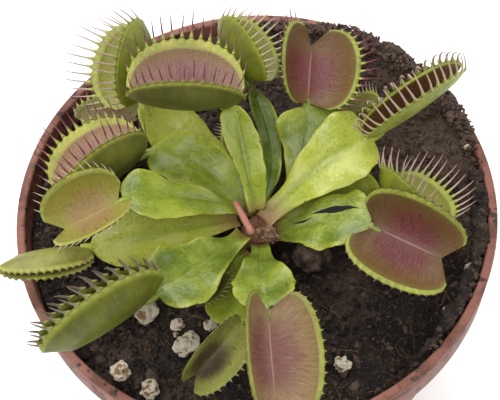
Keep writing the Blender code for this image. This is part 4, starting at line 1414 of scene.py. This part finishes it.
class FLYTRAP_OT_litter(bpy.types.Operator):
    """Scatter crumbs, clods, fibres, perlite and the bark chip on the soil"""

    bl_idname = "flytrap.litter"
    bl_label = "Litter"

    def execute(self, context):
        soil = context.scene.flytrap_soil
        crumb = soil_finish("crumb", soil, lift=1.25)
        for name, (points, faces, tone) in {
            "soil_crumbs": scatter_crumbs(soil.crumbs, 0.16, 0.55, seed=71, rise=0.3),
            "soil_clods": scatter_crumbs(soil.clods, 0.4, 1.2, seed=73, squash=0.6),
            "rim_crumbs": heap_crumbs(900, seed=77),
        }.items():
            piece = make_piece(name, points, faces, crumb, smooth=False, tone=tone)
            settle(piece, "soil")
        straw = fibre_finish()
        points, faces, tone = scatter_fibres(soil.fibres, 2.5, 9.0, girth=0.09, seed=75)
        settle(make_piece("soil_fibres", points, faces, straw, tone=tone), "soil")
        points, faces, tone = scatter_fibres(6 * soil.fibres, 0.8, 2.6, girth=0.07, seed=76)
        settle(make_piece("soil_shreds", points, faces, straw, tone=0.7 * tone), "soil")
        white = perlite_finish()
        for index, (x, y, size) in enumerate(PERLITE):
            points, faces, hollow = rough_grain(x, y, size, seed=81 + index)
            piece = make_piece(f"perlite_grain_{index + 1:02d}", points, faces, white,
                               hollow=hollow)
            settle(piece, "perlite", f"perlite_{index + 1:02d}")
        for index, (x, y, size) in enumerate(SMALL_GRAINS):
            points, faces, hollow = rough_grain(x, y, size, seed=91 + index, level=3)
            piece = make_piece(f"small_grain_{index + 1}", points, faces, white, hollow=hollow)
            settle(piece, "perlite")
        points, faces, tone = rough_grain(9.8, -10.4, 3.1, seed=95, squash=0.95, rough=0.7)
        bark = soil_finish("bark", soil, lift=1.7)
        piece = make_piece("bark_lump", points, faces, bark, tone=0.9 + tone)
        settle(piece, "bark", "bark_chip")
        return {"FINISHED"}


class FLYTRAP_OT_crown(bpy.types.Operator):
    """Make the crown and what is left of the flower stalk"""

    bl_idname = "flytrap.crown"
    bl_label = "Crown"

    def execute(self, context):
        finish = crown_finish(context.scene.flytrap_plant)
        settle(make_piece("crown_stem", *crown_surface(), finish), "crown", "crown")
        points, faces, along, around = flower_stalk_surface()
        piece = make_piece("flower_stalk_base", points, faces, flower_stalk_finish(),
                           along=along, around=around)
        settle(piece, "flower_stalk", "flower_stalk")
        piece = make_piece("flower_stub_end", *flower_stub_surface(), flower_stub_finish())
        settle(piece, "flower_stub", "flower_stub")
        return {"FINISHED"}


class FLYTRAP_OT_stalks(bpy.types.Operator):
    """Make the winged leaf stalks and the necks that carry the traps"""

    bl_idname = "flytrap.stalks"
    bl_label = "Leaf stalks"

    def execute(self, context):
        plant = context.scene.flytrap_plant
        for name, (stalk, trap, look) in LEAVES.items():
            finish = blade_finish(f"{name}_blade", look, plant)
            points, faces, uv = stalk_shell(stalk, trap, plant)
            piece = make_piece(f"{name}_blade", points, faces, finish, uv)
            settle(piece, "leaf_stalk", f"{name}_stalk")
            points, faces, uv = neck_surface(stalk, trap)
            settle(make_piece(f"{name}_neck", points, faces, finish, uv), "leaf_stalk")
        return {"FINISHED"}


class FLYTRAP_OT_traps(bpy.types.Operator):
    """Make the traps with their lobes, teeth and trigger hairs"""

    bl_idname = "flytrap.traps"
    bl_label = "Traps"

    def execute(self, context):
        plant = context.scene.flytrap_plant
        bristles = {key: bristle_finish(f"teeth_{key}", colours)
                    for key, colours in BRISTLES.items()}
        for index, (name, (_, trap, look)) in enumerate(LEAVES.items()):
            finish = trap_finish(f"{name}_trap_skin", look)
            points, faces, uv, inside = trap_shell(trap, look, plant)
            piece = make_piece(f"{name}_lobes", points, faces, finish, uv, inside=inside)
            settle(piece, "leaf_trap", f"{name}_trap")
            points, faces, along = trap_teeth(trap, look, plant, seed=101 + index)
            piece = make_piece(f"{name}_teeth", points, faces, bristles[look.bristle],
                               along=along)
            settle(piece, "leaf_trap", f"{name}_trap")
            if trap.gape > OPEN_GAPE and trap.hinge > HAIRY_HINGE:
                points, faces, along = trap_hairs(trap)
                piece = make_piece(f"{name}_hairs", points, faces, bristles["maroon"],
                                   along=0.5 + 0.5 * along)
                settle(piece, "leaf_trap")
        return {"FINISHED"}


class FLYTRAP_OT_stage(bpy.types.Operator):
    """Lay the floor, hang the lights and set up the camera"""

    bl_idname = "flytrap.stage"
    bl_label = "Stage"

    def execute(self, context):
        stage = context.scene.flytrap_stage
        add_floor(stage)
        add_light("front_light", (-0.15, -0.38, 0.85), stage.front_power)
        add_light("back_light", (-0.10, 0.72, 0.58), stage.back_power)
        add_light("top_light", (-0.16, 0.40, 0.86), stage.top_power, size=0.28)
        add_light("left_light", (-0.75, 0.0, 0.55), stage.side_power)
        add_light("right_light", (0.75, 0.0, 0.55), stage.side_power)
        world = bpy.data.worlds.new("sky")
        world.use_nodes = True
        sky = world.node_tree.nodes["Background"]
        sky.inputs["Color"].default_value = (1.0, 1.0, 1.0, 1.0)
        sky.inputs["Strength"].default_value = stage.sky
        context.scene.world = world
        context.scene.view_settings.view_transform = "Standard"
        add_camera(stage)
        return {"FINISHED"}


def add_floor(stage):
    """A plain, pale floor just under the pot, which gives off a little light."""
    floor = Finish("floor", specular=0.2)
    floor.done(tuple(stage.floor_colour), 0.8)
    floor.surface.inputs["Emission Color"].default_value = (1.0, 1.0, 1.0, 1.0)
    floor.surface.inputs["Emission Strength"].default_value = stage.floor_glow
    bpy.ops.mesh.primitive_plane_add(size=FLOOR_SIZE, location=(0.0, 0.0, -FLOOR_GAP))
    ground = bpy.context.object
    ground.name = "floor"
    ground.data.materials.append(floor.material)


def add_light(name, place, power, size=0.6):
    """A square light that faces the plant."""
    lamp = bpy.data.lights.new(name, "AREA")
    lamp.size = size
    lamp.energy = power
    holder = bpy.data.objects.new(name, lamp)
    aim = Vector((0.0, 0.0, RIM_HEIGHT))
    holder.location = place
    holder.rotation_euler = (aim - holder.location).to_track_quat("-Z", "Y").to_euler()
    bpy.context.scene.collection.objects.link(holder)


def add_camera(stage):
    """A camera in front of the pot that looks down on the plant, rolled a little."""
    lens = bpy.data.cameras.new("camera")
    lens.lens = stage.lens
    lens.sensor_width = SENSOR_WIDTH
    lens.clip_start = 0.01
    back = Vector((0.0, -cos(stage.elevation), sin(stage.elevation)))
    right = Vector((1.0, 0.0, 0.0))
    up = back.cross(right)
    tilted_right = cos(stage.roll) * right + sin(stage.roll) * up
    tilted_up = cos(stage.roll) * up - sin(stage.roll) * right
    camera = bpy.data.objects.new("camera", lens)
    turn = Matrix((tilted_right, tilted_up, back)).transposed().to_4x4()
    camera.matrix_world = Matrix.Translation(CAMERA_AIM + stage.distance * back) @ turn
    bpy.context.scene.collection.objects.link(camera)
    bpy.context.scene.camera = camera


class FLYTRAP_PT_panel(bpy.types.Panel):
    """The flytrap's operators and settings"""

    bl_idname = "FLYTRAP_PT_panel"
    bl_label = "Venus flytrap"
    bl_space_type = "VIEW_3D"
    bl_region_type = "UI"
    bl_category = "Flytrap"

    def draw(self, context):
        for operator in OPERATORS:
            self.layout.operator(operator.bl_idname)
        for key in SETTINGS:
            group = getattr(context.scene, key)
            box = self.layout.box()
            for field in group.bl_rna.properties:
                if field.identifier not in {"rna_type", "name"}:
                    box.prop(group, field.identifier)


OPERATORS = (
    FLYTRAP_OT_pot,
    FLYTRAP_OT_soil,
    FLYTRAP_OT_litter,
    FLYTRAP_OT_crown,
    FLYTRAP_OT_stalks,
    FLYTRAP_OT_traps,
    FLYTRAP_OT_stage,
)

SETTINGS = {
    "flytrap_plant": FlytrapPlant,
    "flytrap_pot": FlytrapPot,
    "flytrap_soil": FlytrapSoil,
    "flytrap_stage": FlytrapStage,
}


def register():
    """Register the classes and hang the settings on the scene."""
    for item in (*SETTINGS.values(), *OPERATORS, FLYTRAP_PT_panel):
        bpy.utils.register_class(item)
    for key, group in SETTINGS.items():
        setattr(bpy.types.Scene, key, PointerProperty(type=group))


def unregister():
    """Take the settings and the classes away again."""
    for key in SETTINGS:
        delattr(bpy.types.Scene, key)
    for item in reversed((*SETTINGS.values(), *OPERATORS, FLYTRAP_PT_panel)):
        bpy.utils.unregister_class(item)


def main():
    """Make everything in order."""
    register()
    bpy.ops.flytrap.pot()
    bpy.ops.flytrap.soil()
    bpy.ops.flytrap.litter()
    bpy.ops.flytrap.crown()
    bpy.ops.flytrap.stalks()
    bpy.ops.flytrap.traps()
    bpy.ops.flytrap.stage()


if __name__ == "__main__":
    main()
